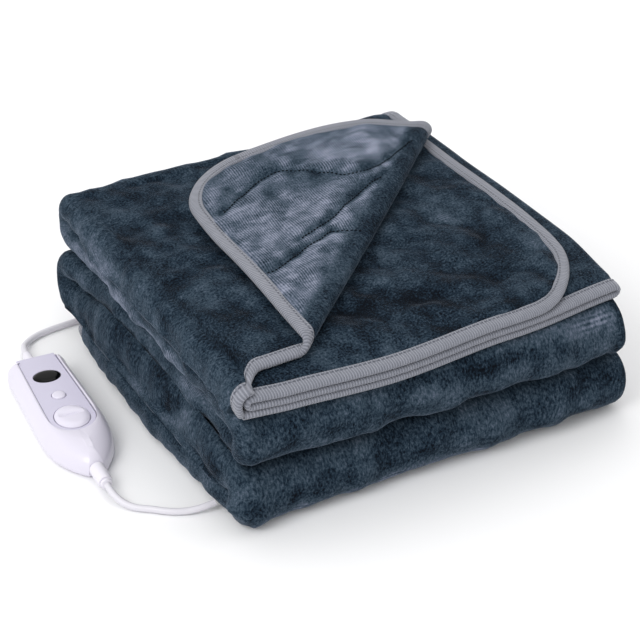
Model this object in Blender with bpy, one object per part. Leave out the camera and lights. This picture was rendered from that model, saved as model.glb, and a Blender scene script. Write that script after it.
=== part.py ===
"""Folded electric heated blanket with a turned-back corner, its hand controller,
the lead between the two, and a mains lead with its coil, tie and plug.

Metres, +Z up.  The folding plan is measured from the front left corner of the stack:
u runs to the right along the front, v runs to the back and z is the height.
place() moves the plan to the origin, on the ground under the middle of the object.
"""

import math

import bmesh
import bpy
import numpy as np
from mathutils import Vector
from mathutils.geometry import delaunay_2d_cdt

# ---------------------------------------------------------------- driving sizes, metres

PLAN_CENTRE = np.array([0.12025, 0.14885, 0.0])

CLOTH_THICK = 0.005
LAYER_PITCH = 0.006
OUTER_TURN = 1.5 * LAYER_PITCH      # top layer round to the fourth, at the left
INNER_TURN = 0.5 * LAYER_PITCH      # third layer round to the second, and at the right
STRIP_TURN = 2.0 * LAYER_PITCH      # middle of the four layers at each back and forth fold
SECTIONS = 5

LEFT_AXIS_U = 0.009
RIGHT_AXIS_U = 0.318
TOP_EDGE_U = 0.325
LOWER_EDGE_U = 0.312

# Back and forth folding, a row per turn axis: name, distance back from the front left corner
FOLD_AXES = [
    ("front hem", -0.018),
    ("first back fold", 0.296),
    ("first front fold", 0.004),
    ("second back fold", 0.294),
    ("second front fold", 0.007),
    ("back hem", 0.280),
]

BINDING_WIDE = 0.012
BINDING_THICK = 0.0050
BINDING_GAP = 0.0004
CORNER_ROUND = 0.065

FLAP_OFFSET = 0.044                 # fold line of the turned-back corner: v = u - FLAP_OFFSET
ROOT2 = math.sqrt(2.0)

# ---------------------------------------------------------------- short tables


def eased(x, stations, values):
    """Value at x, eased from station to station with a level start and end in each step."""
    stations = np.asarray(stations, float)
    values = np.asarray(values, float)
    x = np.clip(x, stations[0], stations[-1])
    step = np.clip(np.searchsorted(stations, x, side="right") - 1, 0, len(stations) - 2)
    share = (x - stations[step]) / (stations[step + 1] - stations[step])
    share = share * share * (3.0 - 2.0 * share)
    return values[step] + (values[step + 1] - values[step]) * share


# Free edges across the stack, a row per place along the cloth:
# share of the cloth's length, top edge u, second layer's edge u
EDGE_DRIFT = [
    (0.000, 0.322, 0.301),
    (0.090, 0.332, 0.308),
    (0.195, 0.306, 0.308),
    (0.400, 0.316, 0.314),
    (0.600, 0.314, 0.314),
    (0.790, 0.328, 0.326),
    (1.000, 0.316, 0.314),
]

# Front hem of the top section, a row per place across the cloth: where, v
HEM_TOP_LEFT_U = (0.000, 0.026, 0.060, 0.200, 0.330)
HEM_TOP_V = (-0.014, 0.006, 0.008, 0.012, 0.018)
HEM_UNDER_U = (0.000, 0.040, 0.110, 0.210, 0.330)
HEM_UNDER_V = (-0.014, -0.017, -0.020, -0.012, -0.004)

# Roll of the turned-back corner, by distance along its fold line: where, radius, extra lift
ROLL_AT = (0.040, 0.150, 0.235, 0.330, 0.380, 0.410)
ROLL_RADIUS = (0.0040, 0.0040, 0.0045, 0.0055, 0.0065, 0.0075)
FLAP_LIFT = (0.000, 0.002, 0.003, 0.006, 0.006, 0.004)

# Sideways lean of the left side, a row per section: name, height, u shift at each v station
SIDE_STATIONS = (0.000, 0.080, 0.160, 0.230, 0.300)
LEFT_LEAN = [
    ("fifth", 0.0115, -0.001, -0.006, -0.010, -0.008, -0.002),
    ("fourth", 0.0355, -0.001, -0.001, -0.002, -0.004, -0.007),
    ("third", 0.0595, 0.001, 0.003, 0.002, -0.001, -0.005),
    ("second", 0.0835, 0.001, 0.000, 0.000, 0.000, -0.002),
    ("first", 0.1075, 0.000, -0.001, -0.001, -0.001, -0.003),
]
RIGHT_LEAN = [
    ("fifth", 0.0115, -0.006, -0.001, -0.002, -0.005, -0.007),
    ("fourth", 0.0355, -0.005, -0.001, -0.002, -0.005, -0.007),
    ("third", 0.0595, -0.012, -0.005, -0.003, -0.005, -0.007),
    ("second", 0.0835, -0.014, -0.006, -0.004, -0.005, -0.007),
    ("first", 0.1075, -0.010, -0.003, -0.003, -0.005, -0.007),
]

# Forward lean of the front, a row per section: name, height, v shift at each u station
FRONT_STATIONS = (0.000, 0.080, 0.160, 0.240, 0.325)
FRONT_LEAN = [
    ("fifth", 0.0115, -0.006, -0.003, -0.002, -0.003, 0.002),
    ("fourth", 0.0355, -0.004, -0.002, -0.002, -0.003, 0.002),
    ("third", 0.0595, 0.001, -0.002, -0.002, -0.001, 0.001),
    ("second", 0.0835, 0.001, -0.002, -0.002, -0.001, 0.001),
    ("first", 0.1075, 0.000, -0.001, -0.001, 0.000, 0.002),
]
# Backward lean of the whole back at the front lean's stations
BACK_LEAN = (-0.010, -0.008, -0.005, -0.001, 0.000)

# Seams of the left side pressed shut, a row per seam: name, height, and how far the rounded
# edges beside it are pushed out at each v station
PRESS_STATIONS = (0.000, 0.050, 0.090, 0.140, 0.240, 0.290)
LEFT_PRESS = [
    ("first to second", 0.096, 0.0050, 0.0060, 0.0060, 0.0060, 0.0050, 0.0010),
    ("fourth to fifth", 0.024, 0.0040, 0.0040, 0.0055, 0.0060, 0.0055, 0.0020),
]
PRESS_REACH = 0.050

LEAN_REACH = 0.120
BACK_FACE_V = 0.300
CREASE_EASE = 0.008
STACK_HIGH = SECTIONS * 4 * LAYER_PITCH
TOP_SWELL = 0.0016
SWELL_WAVES = (21.0, 0.6, 19.0, 0.4)            # radians a metre and start, along u and along v
HEM_DROOP = 0.004
HEM_DROOP_V = (-0.022, 0.018)
HEM_DROOP_Z = (0.088, 0.102)
FLAP_LIFT_OVER = 0.045
NORMAL_STEP = 2e-5


# ---------------------------------------------------------------- folding


def section_level(number):
    """Height of the middle of section `number`, counted from the top, 0 to 4."""
    return CLOTH_THICK / 2 + OUTER_TURN + 4 * LAYER_PITCH * (SECTIONS - 1 - number)


TOP_RUN = TOP_EDGE_U - LEFT_AXIS_U
MIDDLE_RUN = RIGHT_AXIS_U - LEFT_AXIS_U
LOWER_RUN = LOWER_EDGE_U - LEFT_AXIS_U
ACROSS_RUNS = [TOP_RUN, math.pi * OUTER_TURN, MIDDLE_RUN, math.pi * INNER_TURN,
               MIDDLE_RUN, math.pi * INNER_TURN, LOWER_RUN]
ACROSS_AT = np.concatenate([[0.0], np.cumsum(ACROSS_RUNS)])
CLOTH_WIDE = float(ACROSS_AT[-1])

ALONG_RUNS = []
for first, second in zip(FOLD_AXES[:-1], FOLD_AXES[1:]):
    ALONG_RUNS.append(abs(second[1] - first[1]))
    ALONG_RUNS.append(math.pi * STRIP_TURN)
ALONG_RUNS.pop()
ALONG_AT = np.concatenate([[0.0], np.cumsum(ALONG_RUNS)])
CLOTH_LONG = float(ALONG_AT[-1])


def run_of(x, starts):
    """Number of the run that holds each x, the first and last run reaching past the ends."""
    return np.clip(np.searchsorted(starts, x, side="right") - 1, 0, len(starts) - 2)


def across(s, t):
    """Place u and lift in the strip for cloth coordinate s: four flat layers, the outer and
    inner half turns about one axis at the left and the small half turn at the right."""
    run = run_of(s, ACROSS_AT)
    q = s - ACROSS_AT[run]
    share = t / CLOTH_LONG
    rows = np.array(EDGE_DRIFT)
    top_edge = eased(share, rows[:, 0], rows[:, 1])
    low_edge = eased(share, rows[:, 0], rows[:, 2])
    outer = q / OUTER_TURN
    inner = q / INNER_TURN
    top_u = LEFT_AXIS_U + (TOP_RUN - q) * (top_edge - LEFT_AXIS_U) / TOP_RUN
    low_u = LEFT_AXIS_U + q * (low_edge - LEFT_AXIS_U) / LOWER_RUN
    choices_u = [
        top_u,
        LEFT_AXIS_U - OUTER_TURN * np.sin(outer),
        LEFT_AXIS_U + q,
        RIGHT_AXIS_U + INNER_TURN * np.sin(inner),
        RIGHT_AXIS_U - q,
        LEFT_AXIS_U - INNER_TURN * np.sin(inner),
        low_u,
    ]
    choices_lift = [
        np.full_like(q, OUTER_TURN),
        OUTER_TURN * np.cos(outer),
        np.full_like(q, -OUTER_TURN),
        -OUTER_TURN + INNER_TURN * (1.0 - np.cos(inner)),
        np.full_like(q, -INNER_TURN),
        -INNER_TURN * np.cos(inner),
        np.full_like(q, INNER_TURN),
    ]
    return np.choose(run, choices_u), np.choose(run, choices_lift), run


def front_hem(u, run):
    """Distance back of the front hem: the top layer is drawn back where its corner turns."""
    top = eased(u, HEM_TOP_LEFT_U, HEM_TOP_V)
    under = eased(u, HEM_UNDER_U, HEM_UNDER_V)
    return np.where(run == 0, top, under)


def along(t, u, across_run):
    """Centre line of the strip in the v-z plane and its normal: flat sections joined by half
    turns of STRIP_TURN, to the right at the back and to the left at the front."""
    run = run_of(t, ALONG_AT)
    q = t - ALONG_AT[run]
    v = np.zeros_like(t)
    z = np.zeros_like(t)
    normal_v = np.zeros_like(t)
    normal_z = np.zeros_like(t)
    for number in range(SECTIONS):
        flat = run == 2 * number
        start = FOLD_AXES[number][1]
        stop = FOLD_AXES[number + 1][1]
        place = start + np.sign(stop - start) * q
        if number == 0:
            hem = front_hem(u, across_run)
            place = stop - (ALONG_RUNS[0] - q) * (stop - hem) / ALONG_RUNS[0]
        facing = 1.0 if number % 2 == 0 else -1.0
        v = np.where(flat, place, v)
        z = np.where(flat, section_level(number), z)
        normal_z = np.where(flat, facing, normal_z)
        turn = run == 2 * number + 1
        if number == SECTIONS - 1:
            continue
        angle = q / STRIP_TURN
        middle = (section_level(number) + section_level(number + 1)) / 2
        v = np.where(turn, stop + facing * STRIP_TURN * np.sin(angle), v)
        z = np.where(turn, middle + STRIP_TURN * np.cos(angle), z)
        normal_v = np.where(turn, np.sin(angle), normal_v)
        normal_z = np.where(turn, facing * np.cos(angle), normal_z)
    return v, z, normal_v, normal_z, run


def turn_back(u, v, z, loose):
    """Curl the loose top corner over its fold line: a half roll, then flat and face up."""
    beyond = (u - v - FLAP_OFFSET) / ROOT2
    line = (u + v) / ROOT2
    radius = eased(line, ROLL_AT, ROLL_RADIUS)
    lift = eased(line, ROLL_AT, FLAP_LIFT)
    arc = math.pi * radius
    angle = np.clip(beyond, 0.0, arc) / radius
    past = np.maximum(beyond - arc, 0.0)
    out = radius * np.sin(angle) - past
    rise = radius * (1.0 - np.cos(angle)) + lift * eased(past, (0.0, FLAP_LIFT_OVER), (0.0, 1.0))
    turned = loose & (beyond > 0.0)
    new_u = (ROOT2 * line + ROOT2 * out + FLAP_OFFSET) / 2
    new_v = (ROOT2 * line - ROOT2 * out - FLAP_OFFSET) / 2
    return np.where(turned, new_u, u), np.where(turned, new_v, v), np.where(turned, z + rise, z)


def lean(table, stations, place, height):
    """Shift from a lean table at a place along the side and a height, eased both ways."""
    levels = [row[1] for row in table]
    rows = [eased(place, stations, row[2:]) for row in table]
    total = rows[0]
    for low in range(len(table) - 1):
        middle = (levels[low] + levels[low + 1]) / 2
        change = eased(height, (middle - CREASE_EASE, middle + CREASE_EASE), (0.0, 1.0))
        total = total + (rows[low + 1] - rows[low]) * change
    return total


def press(place, height):
    """Outward push beside the left side's pressed seams: full at the seam, none past it."""
    total = np.zeros_like(place)
    for _, seam, *push in LEFT_PRESS:
        away = (np.abs(height - seam) - LAYER_PITCH / 2) / OUTER_TURN
        near = 1.0 - np.clip(away, 0.0, 1.0)
        share = 1.0 - np.sqrt(1.0 - near * near)
        total = total + eased(place, PRESS_STATIONS, push) * share
    return total


def settle(u, v, z):
    """Lean, bow and swell of the whole stack; each step moves along one direction only, so
    that layers never meet, and nothing moves up or down on the ground."""
    left = eased(u, (0.0, LEAN_REACH), (1.0, 0.0))
    right = eased(u, (RIGHT_AXIS_U - LEAN_REACH, RIGHT_AXIS_U), (0.0, 1.0))
    near = eased(u, (0.0, PRESS_REACH), (1.0, 0.0))
    u = u + left * lean(LEFT_LEAN, SIDE_STATIONS, v, z) - near * press(v, z)
    u = u + right * lean(RIGHT_LEAN, SIDE_STATIONS, v, z)
    front = eased(v, (0.0, LEAN_REACH), (1.0, 0.0))
    v = v + front * lean(FRONT_LEAN, FRONT_STATIONS, u, z)
    back = eased(v, (BACK_FACE_V - LEAN_REACH, BACK_FACE_V), (0.0, 1.0))
    v = v + back * eased(u, FRONT_STATIONS, BACK_LEAN)
    share = np.clip(z / STACK_HIGH, 0.0, 1.1)
    u_rate, u_start, v_rate, v_start = SWELL_WAVES
    wave = np.sin(u * u_rate + u_start) * np.sin(v * v_rate + v_start)
    z = z + TOP_SWELL * share * share * wave
    droop = eased(v, HEM_DROOP_V, (1.0, 0.0)) * eased(z, HEM_DROOP_Z, (0.0, 1.0))
    return u, v, z - HEM_DROOP * droop


def fold(s, t):
    """Middle of the cloth for flat cloth coordinates s across and t along."""
    s = np.asarray(s, float)
    t = np.asarray(t, float)
    u, lift, across_run = across(s, t)
    v, z, normal_v, normal_z, along_run = along(t, u, across_run)
    v = v + lift * normal_v
    z = z + lift * normal_z
    loose = (across_run == 0) & (along_run == 0)
    u, v, z = turn_back(u, v, z, loose)
    return np.stack(settle(u, v, z), axis=-1)


def folded(s, t, offset):
    """Folded point at a distance from the middle of the cloth, along its normal."""
    s = np.asarray(s, float)
    t = np.asarray(t, float)
    along_cloth = fold(s, t + NORMAL_STEP) - fold(s, t - NORMAL_STEP)
    across_cloth = fold(s + NORMAL_STEP, t) - fold(s - NORMAL_STEP, t)
    normal = np.cross(along_cloth, across_cloth)
    normal /= np.linalg.norm(normal, axis=-1, keepdims=True)
    return fold(s, t) + normal * np.asarray(offset, float)[..., None] - PLAN_CENTRE


# ---------------------------------------------------------------- flat cloth net

FLAT_CELLS = 6
OUTER_CELLS = 6
INNER_CELLS = 4
SECTION_CELLS = 5
STRIP_CELLS = 6
ROLL_CELLS = 6
CORNER_CELLS = 6
ROLL_STEP = 0.0032                  # outline spacing where the roll crosses the edge
ROLL_ZONE = 0.050                   # length of close stations before the crossing
ROLL_AFTER = 0.008                  # and after it
ROLL_POINTS = 15
ROLL_BEFORE = 0.010                 # no grid points this close to the fold line
CORNER_CLEAR = 0.004                # no outline stations this close to a rounded corner
EDGE_CLEAR = 0.006                  # no grid points this close to the rounded edge


def across_stations():
    """Stations across the cloth, at the same places u in all four layers."""
    even = np.linspace(LEFT_AXIS_U, RIGHT_AXIS_U, FLAT_CELLS + 1)
    found = list(TOP_EDGE_U - even[::-1])
    cells = [OUTER_CELLS, FLAT_CELLS, INNER_CELLS, FLAT_CELLS, INNER_CELLS]
    for first, last, count in zip(ACROSS_AT[1:6], ACROSS_AT[2:7], cells):
        found.extend(np.linspace(first, last, count + 1)[1:])
    found.extend(ACROSS_AT[6] + even[1:] - LEFT_AXIS_U)
    return np.array(found)


def along_stations():
    """Stations along the cloth, evenly spaced in each section and each turn."""
    found = []
    for number, (first, last) in enumerate(zip(ALONG_AT[:-1], ALONG_AT[1:])):
        count = STRIP_CELLS if number % 2 else SECTION_CELLS
        found.extend(np.linspace(first, last, count + 1)[1:])
    return np.array(found[:-1])


def plan_of(s, t):
    """Place (u, v) on the top layer before the corner is turned back."""
    u, _, run = across(s, t)
    return u, along(t, u, run)[0]


def beyond_fold(s, t):
    """Distance past the fold line of the turned-back corner, and the roll's length there."""
    u, v = plan_of(s, t)
    radius = eased((u + v) / ROOT2, ROLL_AT, ROLL_RADIUS)
    return (u - v - FLAP_OFFSET) / ROOT2, math.pi * radius


def roll_lines(margin):
    """Lines along the roll in cloth coordinates, each kept `margin` inside the edges."""
    line = np.linspace(0.0, 0.45, 451)
    radius = eased(line, ROLL_AT, ROLL_RADIUS)
    lines = []
    for number in range(ROLL_CELLS + 1):
        beyond = math.pi * radius * number / ROLL_CELLS
        goal_u = (ROOT2 * line + ROOT2 * beyond + FLAP_OFFSET) / 2
        goal_v = (ROOT2 * line - ROOT2 * beyond - FLAP_OFFSET) / 2
        s = TOP_EDGE_U - goal_u
        t = goal_v - FOLD_AXES[0][1]
        for _ in range(15):
            u, v = plan_of(s, t)
            s, t = s + (u - goal_u), t - (v - goal_v)
        kept = np.flatnonzero((s > margin) & (t > margin))
        picked = np.linspace(kept[0], kept[-1], ROLL_POINTS).round().astype(int)
        lines.append(np.stack([s[picked], t[picked]], axis=-1))
    return lines


def roll_crossing(edge):
    """Where the fold line meets the front edge (as s) or the side edge (as t)."""
    walk = np.linspace(CORNER_ROUND, 0.31, 500)
    still = np.zeros_like(walk)
    beyond = beyond_fold(walk, still)[0] if edge == "front" else beyond_fold(still, walk)[0]
    return float(walk[np.argmin(np.abs(beyond))])


def with_roll(marks, crossing):
    """Stations with the coarse ones near the roll replaced by close ones."""
    start, stop = crossing - ROLL_ZONE, crossing + ROLL_AFTER
    kept = [mark for mark in marks if not start < mark < stop]
    close = np.arange(start, stop, ROLL_STEP)
    return np.array(sorted(kept + list(close)))


def outline():
    """Outer edge of the flat cloth with rounded corners: points and inward directions."""
    clear = CORNER_ROUND + CORNER_CLEAR
    wide = [s for s in across_stations() if clear < s < CLOTH_WIDE - clear]
    tall = [t for t in along_stations() if clear < t < CLOTH_LONG - clear]
    front = with_roll(wide, roll_crossing("front"))
    side = with_roll(tall, roll_crossing("side"))
    near, far_s, far_t = CORNER_ROUND, CLOTH_WIDE - CORNER_ROUND, CLOTH_LONG - CORNER_ROUND
    sides = [
        ((near, near, 180.0), [(s, 0.0, 0.0, 1.0) for s in front]),
        ((far_s, near, 270.0), [(CLOTH_WIDE, t, -1.0, 0.0) for t in tall]),
        ((far_s, far_t, 0.0), [(s, CLOTH_LONG, 0.0, -1.0) for s in wide[::-1]]),
        ((near, far_t, 90.0), [(0.0, t, 1.0, 0.0) for t in side[::-1]]),
    ]
    rows = []
    for (s, t, start), straight in sides:
        for step in range(CORNER_CELLS + 1):
            angle = math.radians(start + 90.0 * step / CORNER_CELLS)
            cosine, sine = math.cos(angle), math.sin(angle)
            rows.append((s + near * cosine, t + near * sine, -cosine, -sine))
        rows.extend(straight)
    rows = np.array(rows)
    return rows[:, :2], rows[:, 2:]


def side_of_roll(s, t):
    """-1 on the resting top layer, 1 on the turned-back corner, 0 in and beside the roll."""
    beyond, arc = beyond_fold(np.array([s]), np.array([t]))
    if s > ACROSS_AT[1] or t > ALONG_AT[1] or beyond[0] < -ROLL_BEFORE:
        return -1
    return 1 if beyond[0] > arc[0] + ROLL_AFTER else 0


def cloth_net():
    """Triangles over the flat cloth: a grid on the stations, with the lines of the roll."""
    edge, inward = outline()
    inset = BINDING_WIDE + BINDING_GAP
    loop = edge + inset * inward
    points = [tuple(point) for point in loop]
    count = len(points)
    edges = [(number, (number + 1) % count) for number in range(count)]
    at_edge = {(round(s, 7), round(t, 7)): number for number, (s, t) in enumerate(points)}

    wide = np.concatenate([[inset], across_stations(), [CLOTH_WIDE - inset]])
    tall = np.concatenate([[inset], along_stations(), [CLOTH_LONG - inset]])
    round_off = CORNER_ROUND - inset
    number_at = {}
    for i, s in enumerate(wide):
        for j, t in enumerate(tall):
            if i in (0, len(wide) - 1) or j in (0, len(tall) - 1):
                known = at_edge.get((round(s, 7), round(t, 7)))
                if known is not None:
                    number_at[i, j] = known
                continue
            from_corner_s = max(CORNER_ROUND - s, s - (CLOTH_WIDE - CORNER_ROUND), 0.0)
            from_corner_t = max(CORNER_ROUND - t, t - (CLOTH_LONG - CORNER_ROUND), 0.0)
            if math.hypot(from_corner_s, from_corner_t) > round_off - EDGE_CLEAR:
                continue
            if side_of_roll(s, t) == 0:
                continue
            number_at[i, j] = len(points)
            points.append((s, t))

    for i in range(len(wide) - 1):
        for j in range(len(tall) - 1):
            corners = [(i, j), (i + 1, j), (i + 1, j + 1), (i, j + 1)]
            if not all(corner in number_at for corner in corners):
                continue
            sides = {side_of_roll(wide[a], tall[b]) for a, b in corners}
            if len(sides) > 1 or 0 in sides:
                continue
            across_run = run_of(np.array([(wide[i] + wide[i + 1]) / 2]), ACROSS_AT)[0]
            along_run = run_of(np.array([(tall[j] + tall[j + 1]) / 2]), ALONG_AT)[0]
            rising = (across_run in (1, 2, 3, 6)) == (along_run % 4 < 2)
            ids = [number_at[corner] for corner in corners]
            diagonal = (ids[0], ids[2]) if rising else (ids[1], ids[3])
            edges.extend(list(zip(ids, ids[1:] + ids[:1])) + [diagonal])

    for line in roll_lines(inset + 0.003):
        start = len(points)
        points.extend(tuple(point) for point in line)
        edges.extend((start + k, start + k + 1) for k in range(len(line) - 1))

    flat = [Vector(point) for point in points]
    found = delaunay_2d_cdt(flat, edges, [], 0, 1e-7)
    places = np.array([tuple(point) for point in found[0]])
    return places, [tuple(face) for face in found[2]]


# ---------------------------------------------------------------- objects and materials

for item in list(bpy.data.objects):
    bpy.data.objects.remove(item, do_unlink=True)


def srgb(code):
    """Linear colour from a hex code."""
    found = []
    for place in (0, 2, 4):
        value = int(code[place:place + 2], 16) / 255.0
        found.append(value / 12.92 if value <= 0.04045 else ((value + 0.055) / 1.055) ** 2.4)
    return (*found, 1.0)


def material(name, code, roughness, metallic=0.0):
    """Principled material of one colour."""
    made = bpy.data.materials.new(name)
    made.use_nodes = True
    shader = made.node_tree.nodes["Principled BSDF"]
    shader.inputs["Base Color"].default_value = srgb(code)
    shader.inputs["Roughness"].default_value = roughness
    shader.inputs["Metallic"].default_value = metallic
    return made


PLUSH = material("slate_blue_plush", "4C5B6E", 0.95)
KNIT = material("grey_ribbed_knit", "A9AAB4", 0.9)
WHITE_SHELL = material("white_shell_plastic", "EDEBF2", 0.28)
WHITE_PANEL = material("white_panel_plastic", "F1EFF5", 0.24)
WHITE_BUTTON = material("white_button_plastic", "F3F2F6", 0.22)
DARK_WINDOW = material("dark_display_window", "17181C", 0.08)
WHITE_SLEEVE = material("white_sleeve_rubber", "E6E4EC", 0.45)
WHITE_CORD = material("white_cord_jacket", "D9D7DF", 0.4)
WHITE_TIE = material("white_tie_plastic", "EFEFF2", 0.5)
BRASS_PIN = material("nickelled_brass_pin", "C9C6BD", 0.25, 1.0)


def add_object(name, mesh, surface, sharp=35.0):
    """Object of a mesh with one material, smooth but for edges sharper than `sharp`."""
    made = bpy.data.objects.new(name, mesh)
    bpy.context.scene.collection.objects.link(made)
    mesh.materials.append(surface)
    mesh.shade_smooth()
    mesh.set_sharp_from_angle(angle=math.radians(sharp))
    return made


def mesh_of(name, points, faces):
    """Closed mesh from points and faces, faces turned outward."""
    mesh = bpy.data.meshes.new(name)
    mesh.from_pydata([tuple(point) for point in points], [], faces)
    work = bmesh.new()
    work.from_mesh(mesh)
    bmesh.ops.recalc_face_normals(work, faces=work.faces)
    work.to_mesh(mesh)
    work.free()
    return mesh


def rings_mesh(name, rings, closed=False, split=False):
    """Mesh through rings of points in order, with end caps, or joined end to start.  Where
    the quads are twisted they are split the same way, so that neighbours stay parallel."""
    size = len(rings[0])
    points = np.concatenate(rings)
    count = len(rings)
    faces = []
    for ring in range(count if closed else count - 1):
        low = ring * size
        high = ((ring + 1) % count) * size
        for k in range(size):
            following = (k + 1) % size
            if split:
                faces.append((low + k, low + following, high + k))
                faces.append((low + following, high + following, high + k))
            else:
                faces.append((low + k, low + following, high + following, high + k))
    if not closed:
        faces.append(tuple(range(size))[::-1])
        faces.append(tuple((count - 1) * size + k for k in range(size)))
    return mesh_of(name, points, faces)


# ---------------------------------------------------------------- blanket


def make_cloth():
    """Blanket cloth: the net folded, one face each side of the middle, closed at the edge."""
    places, net = cloth_net()
    half = np.full(len(places), CLOTH_THICK / 2)
    outer = folded(places[:, 0], places[:, 1], half)
    under = folded(places[:, 0], places[:, 1], -half)
    count = len(places)
    faces = [face[::-1] for face in net]
    faces += [tuple(count + corner for corner in face) for face in net]
    directed = set()
    for face in net:
        directed.update(zip(face, face[1:] + face[:1]))
    for first, second in directed:
        if (second, first) not in directed:
            faces.append((first, second, count + second))
            faces.append((first, count + second, count + first))
    mesh = bpy.data.meshes.new("blanket_cloth")
    mesh.from_pydata([tuple(point) for point in np.concatenate([outer, under])], [], faces)
    return add_object("blanket_cloth", mesh, PLUSH, 70.0)


# Binding section, a row per point: name, distance in from the edge, share of half thickness
BINDING_SECTION = [
    ("inner top", 1.00, 1.0),
    ("outer top", 0.22, 1.0),
    ("upper round", 0.05, 0.6),
    ("edge", 0.00, 0.0),
    ("lower round", 0.05, -0.6),
    ("outer bottom", 0.22, -1.0),
    ("inner bottom", 1.00, -1.0),
]


def make_binding():
    """Edge binding: its section carried once round the whole edge of the folded cloth."""
    edge, inward = outline()
    rows = []
    for _, distance, share in BINDING_SECTION:
        place = edge + inward * distance * BINDING_WIDE
        offset = np.full(len(edge), share * BINDING_THICK / 2)
        rows.append(folded(place[:, 0], place[:, 1], offset))
    rings = np.stack(rows, axis=1)
    mesh = rings_mesh("edge_binding", list(rings), closed=True, split=True)
    return add_object("edge_binding", mesh, KNIT, 60.0)


make_cloth()
make_binding()


# ---------------------------------------------------------------- controller

CONTROL_TAIL = np.array([-0.0627, 0.0950])      # round end, plan
CONTROL_HEAD = np.array([-0.0549, 0.2360])      # flat end, plan
CONTROL_AXIS = (CONTROL_HEAD - CONTROL_TAIL) / np.linalg.norm(CONTROL_HEAD - CONTROL_TAIL)
CONTROL_MIDDLE = (CONTROL_HEAD + CONTROL_TAIL) / 2
CONTROL_HALF = float(np.linalg.norm(CONTROL_HEAD - CONTROL_TAIL)) / 2
PIECE_GAP = 0.0003

# Half widths along the housing, a row per place: share from the middle, half width
HOUSING_WIDTHS = [
    (-1.000, 0.0062),
    (-0.960, 0.0092),
    (-0.900, 0.0126),
    (-0.800, 0.0172),
    (-0.680, 0.0212),
    (-0.520, 0.0243),
    (-0.340, 0.0256),
    (-0.100, 0.0254),
    (0.200, 0.0248),
    (0.500, 0.0241),
    (0.800, 0.0234),
    (0.950, 0.0230),
    (0.985, 0.0221),
    (1.000, 0.0200),
]

# Housing height, a row per outline: name, height, inset at the sides, flat end, round end
HOUSING_LEVELS = [
    ("foot", 0.0000, 0.0030, 0.0030, 0.0030),
    ("lower edge", 0.0012, 0.0010, 0.0010, 0.0010),
    ("widest", 0.0040, 0.0000, 0.0000, 0.0000),
    ("side", 0.0110, 0.0008, 0.0000, 0.0000),
    ("upper side", 0.0152, 0.0022, 0.0014, 0.0030),
    ("shoulder", 0.0181, 0.0038, 0.0038, 0.0080),
    ("brow", 0.0201, 0.0052, 0.0070, 0.0140),
    ("top", 0.0212, 0.0066, 0.0110, 0.0200),
]
HOUSING_TOP = HOUSING_LEVELS[-1][1]
RECESS_FLOOR = 0.0178
PANEL_INSET = 0.0084
PANEL_GROOVE = 0.0006               # open groove between the panel and the recess
PANEL_END = 0.0080
PANEL_STRAIGHT = 0.0100             # the panel keeps its width over this length at its end
PANEL_THICK = 0.0020
PANEL_TOP = RECESS_FLOOR + PIECE_GAP + PANEL_THICK
PANEL_BEVEL = 0.0006
PANEL_ROUND = 1.06                  # length of the panel's round end over its half width
WELL_FLOOR = RECESS_FLOOR - 0.0036
BUTTON_PLAY = 0.0004
FLANGE_THICK = 0.0010
FLANGE_WIDE = 0.0016
HOUSING_LEAST = 0.0022
CUT_PAST = 0.0010

# Front of the controller, a row per piece: name, place along the axis, half width, half length
WINDOW_ROW = ("display_window", 0.0397, 0.0103, 0.0080)
SMALL_ROW = ("small_button", 0.0117, 0.0052, 0.0052)
LARGE_ROW = ("large_button", -0.0190, 0.0130, 0.0150)


def on_controller(along_axis, side, height):
    """World points from controller places: along its axis, to its right side, and height."""
    along_axis = np.asarray(along_axis, float)
    side = np.asarray(side, float)
    right = np.array([CONTROL_AXIS[1], -CONTROL_AXIS[0]])
    plan = CONTROL_MIDDLE + along_axis[..., None] * CONTROL_AXIS + side[..., None] * right
    high = np.broadcast_to(np.asarray(height, float), along_axis.shape)
    return np.concatenate([plan, high[..., None]], axis=-1) - PLAN_CENTRE


def housing_outline(height, inset, head_inset, tail_inset):
    """Closed outline of the housing at one height, from the half width table."""
    rows = np.array(HOUSING_WIDTHS)
    low = tail_inset - CONTROL_HALF
    high = CONTROL_HALF - head_inset
    there = low + (rows[:, 0] + 1.0) / 2.0 * (high - low)
    half = np.maximum(rows[:, 1] - inset, HOUSING_LEAST)
    along_axis = np.concatenate([there, there[::-1]])
    side = np.concatenate([half, -half[::-1]])
    return on_controller(along_axis, side, height)


def oval(row, grow, height, count=28):
    """Closed oval outline round a row's place on the controller."""
    _, centre, wide, long = row
    angles = np.arange(count) * 2.0 * math.pi / count
    along_axis = centre + (long + grow) * np.sin(angles)
    return on_controller(along_axis, (wide + grow) * np.cos(angles), height)


def cutter(name, rings):
    """Hidden closed shape that a Boolean takes away."""
    made = add_object(name, rings_mesh(name, rings), WHITE_SHELL)
    made.hide_render = True
    made.display_type = "WIRE"
    return made


def cut(piece, tool):
    """Take a cutter's shape away from a piece."""
    change = piece.modifiers.new(tool.name, "BOOLEAN")
    change.operation = "DIFFERENCE"
    change.solver = "EXACT"
    change.object = tool


def panel_outline(inset, height, end):
    """Panel outline: parallel to the housing's sides, square near the flat end, `end` in
    from it, and a half circle round the large button at the other."""
    low = LARGE_ROW[1]
    rows = np.array(HOUSING_WIDTHS)
    there = np.linspace(low, CONTROL_HALF - end, 7)
    straight = np.minimum(there, CONTROL_HALF - PANEL_STRAIGHT)
    half = np.interp(straight, rows[:, 0] * CONTROL_HALF, rows[:, 1]) - PANEL_INSET - inset
    angles = np.linspace(0.0, math.pi, 13)[1:-1]
    round_along = low - half[0] * PANEL_ROUND * np.sin(angles)
    round_side = -half[0] * np.cos(angles)
    along_axis = np.concatenate([there, there[::-1], round_along])
    side = np.concatenate([half, -half[::-1], round_side])
    return on_controller(along_axis, side, height)


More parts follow.
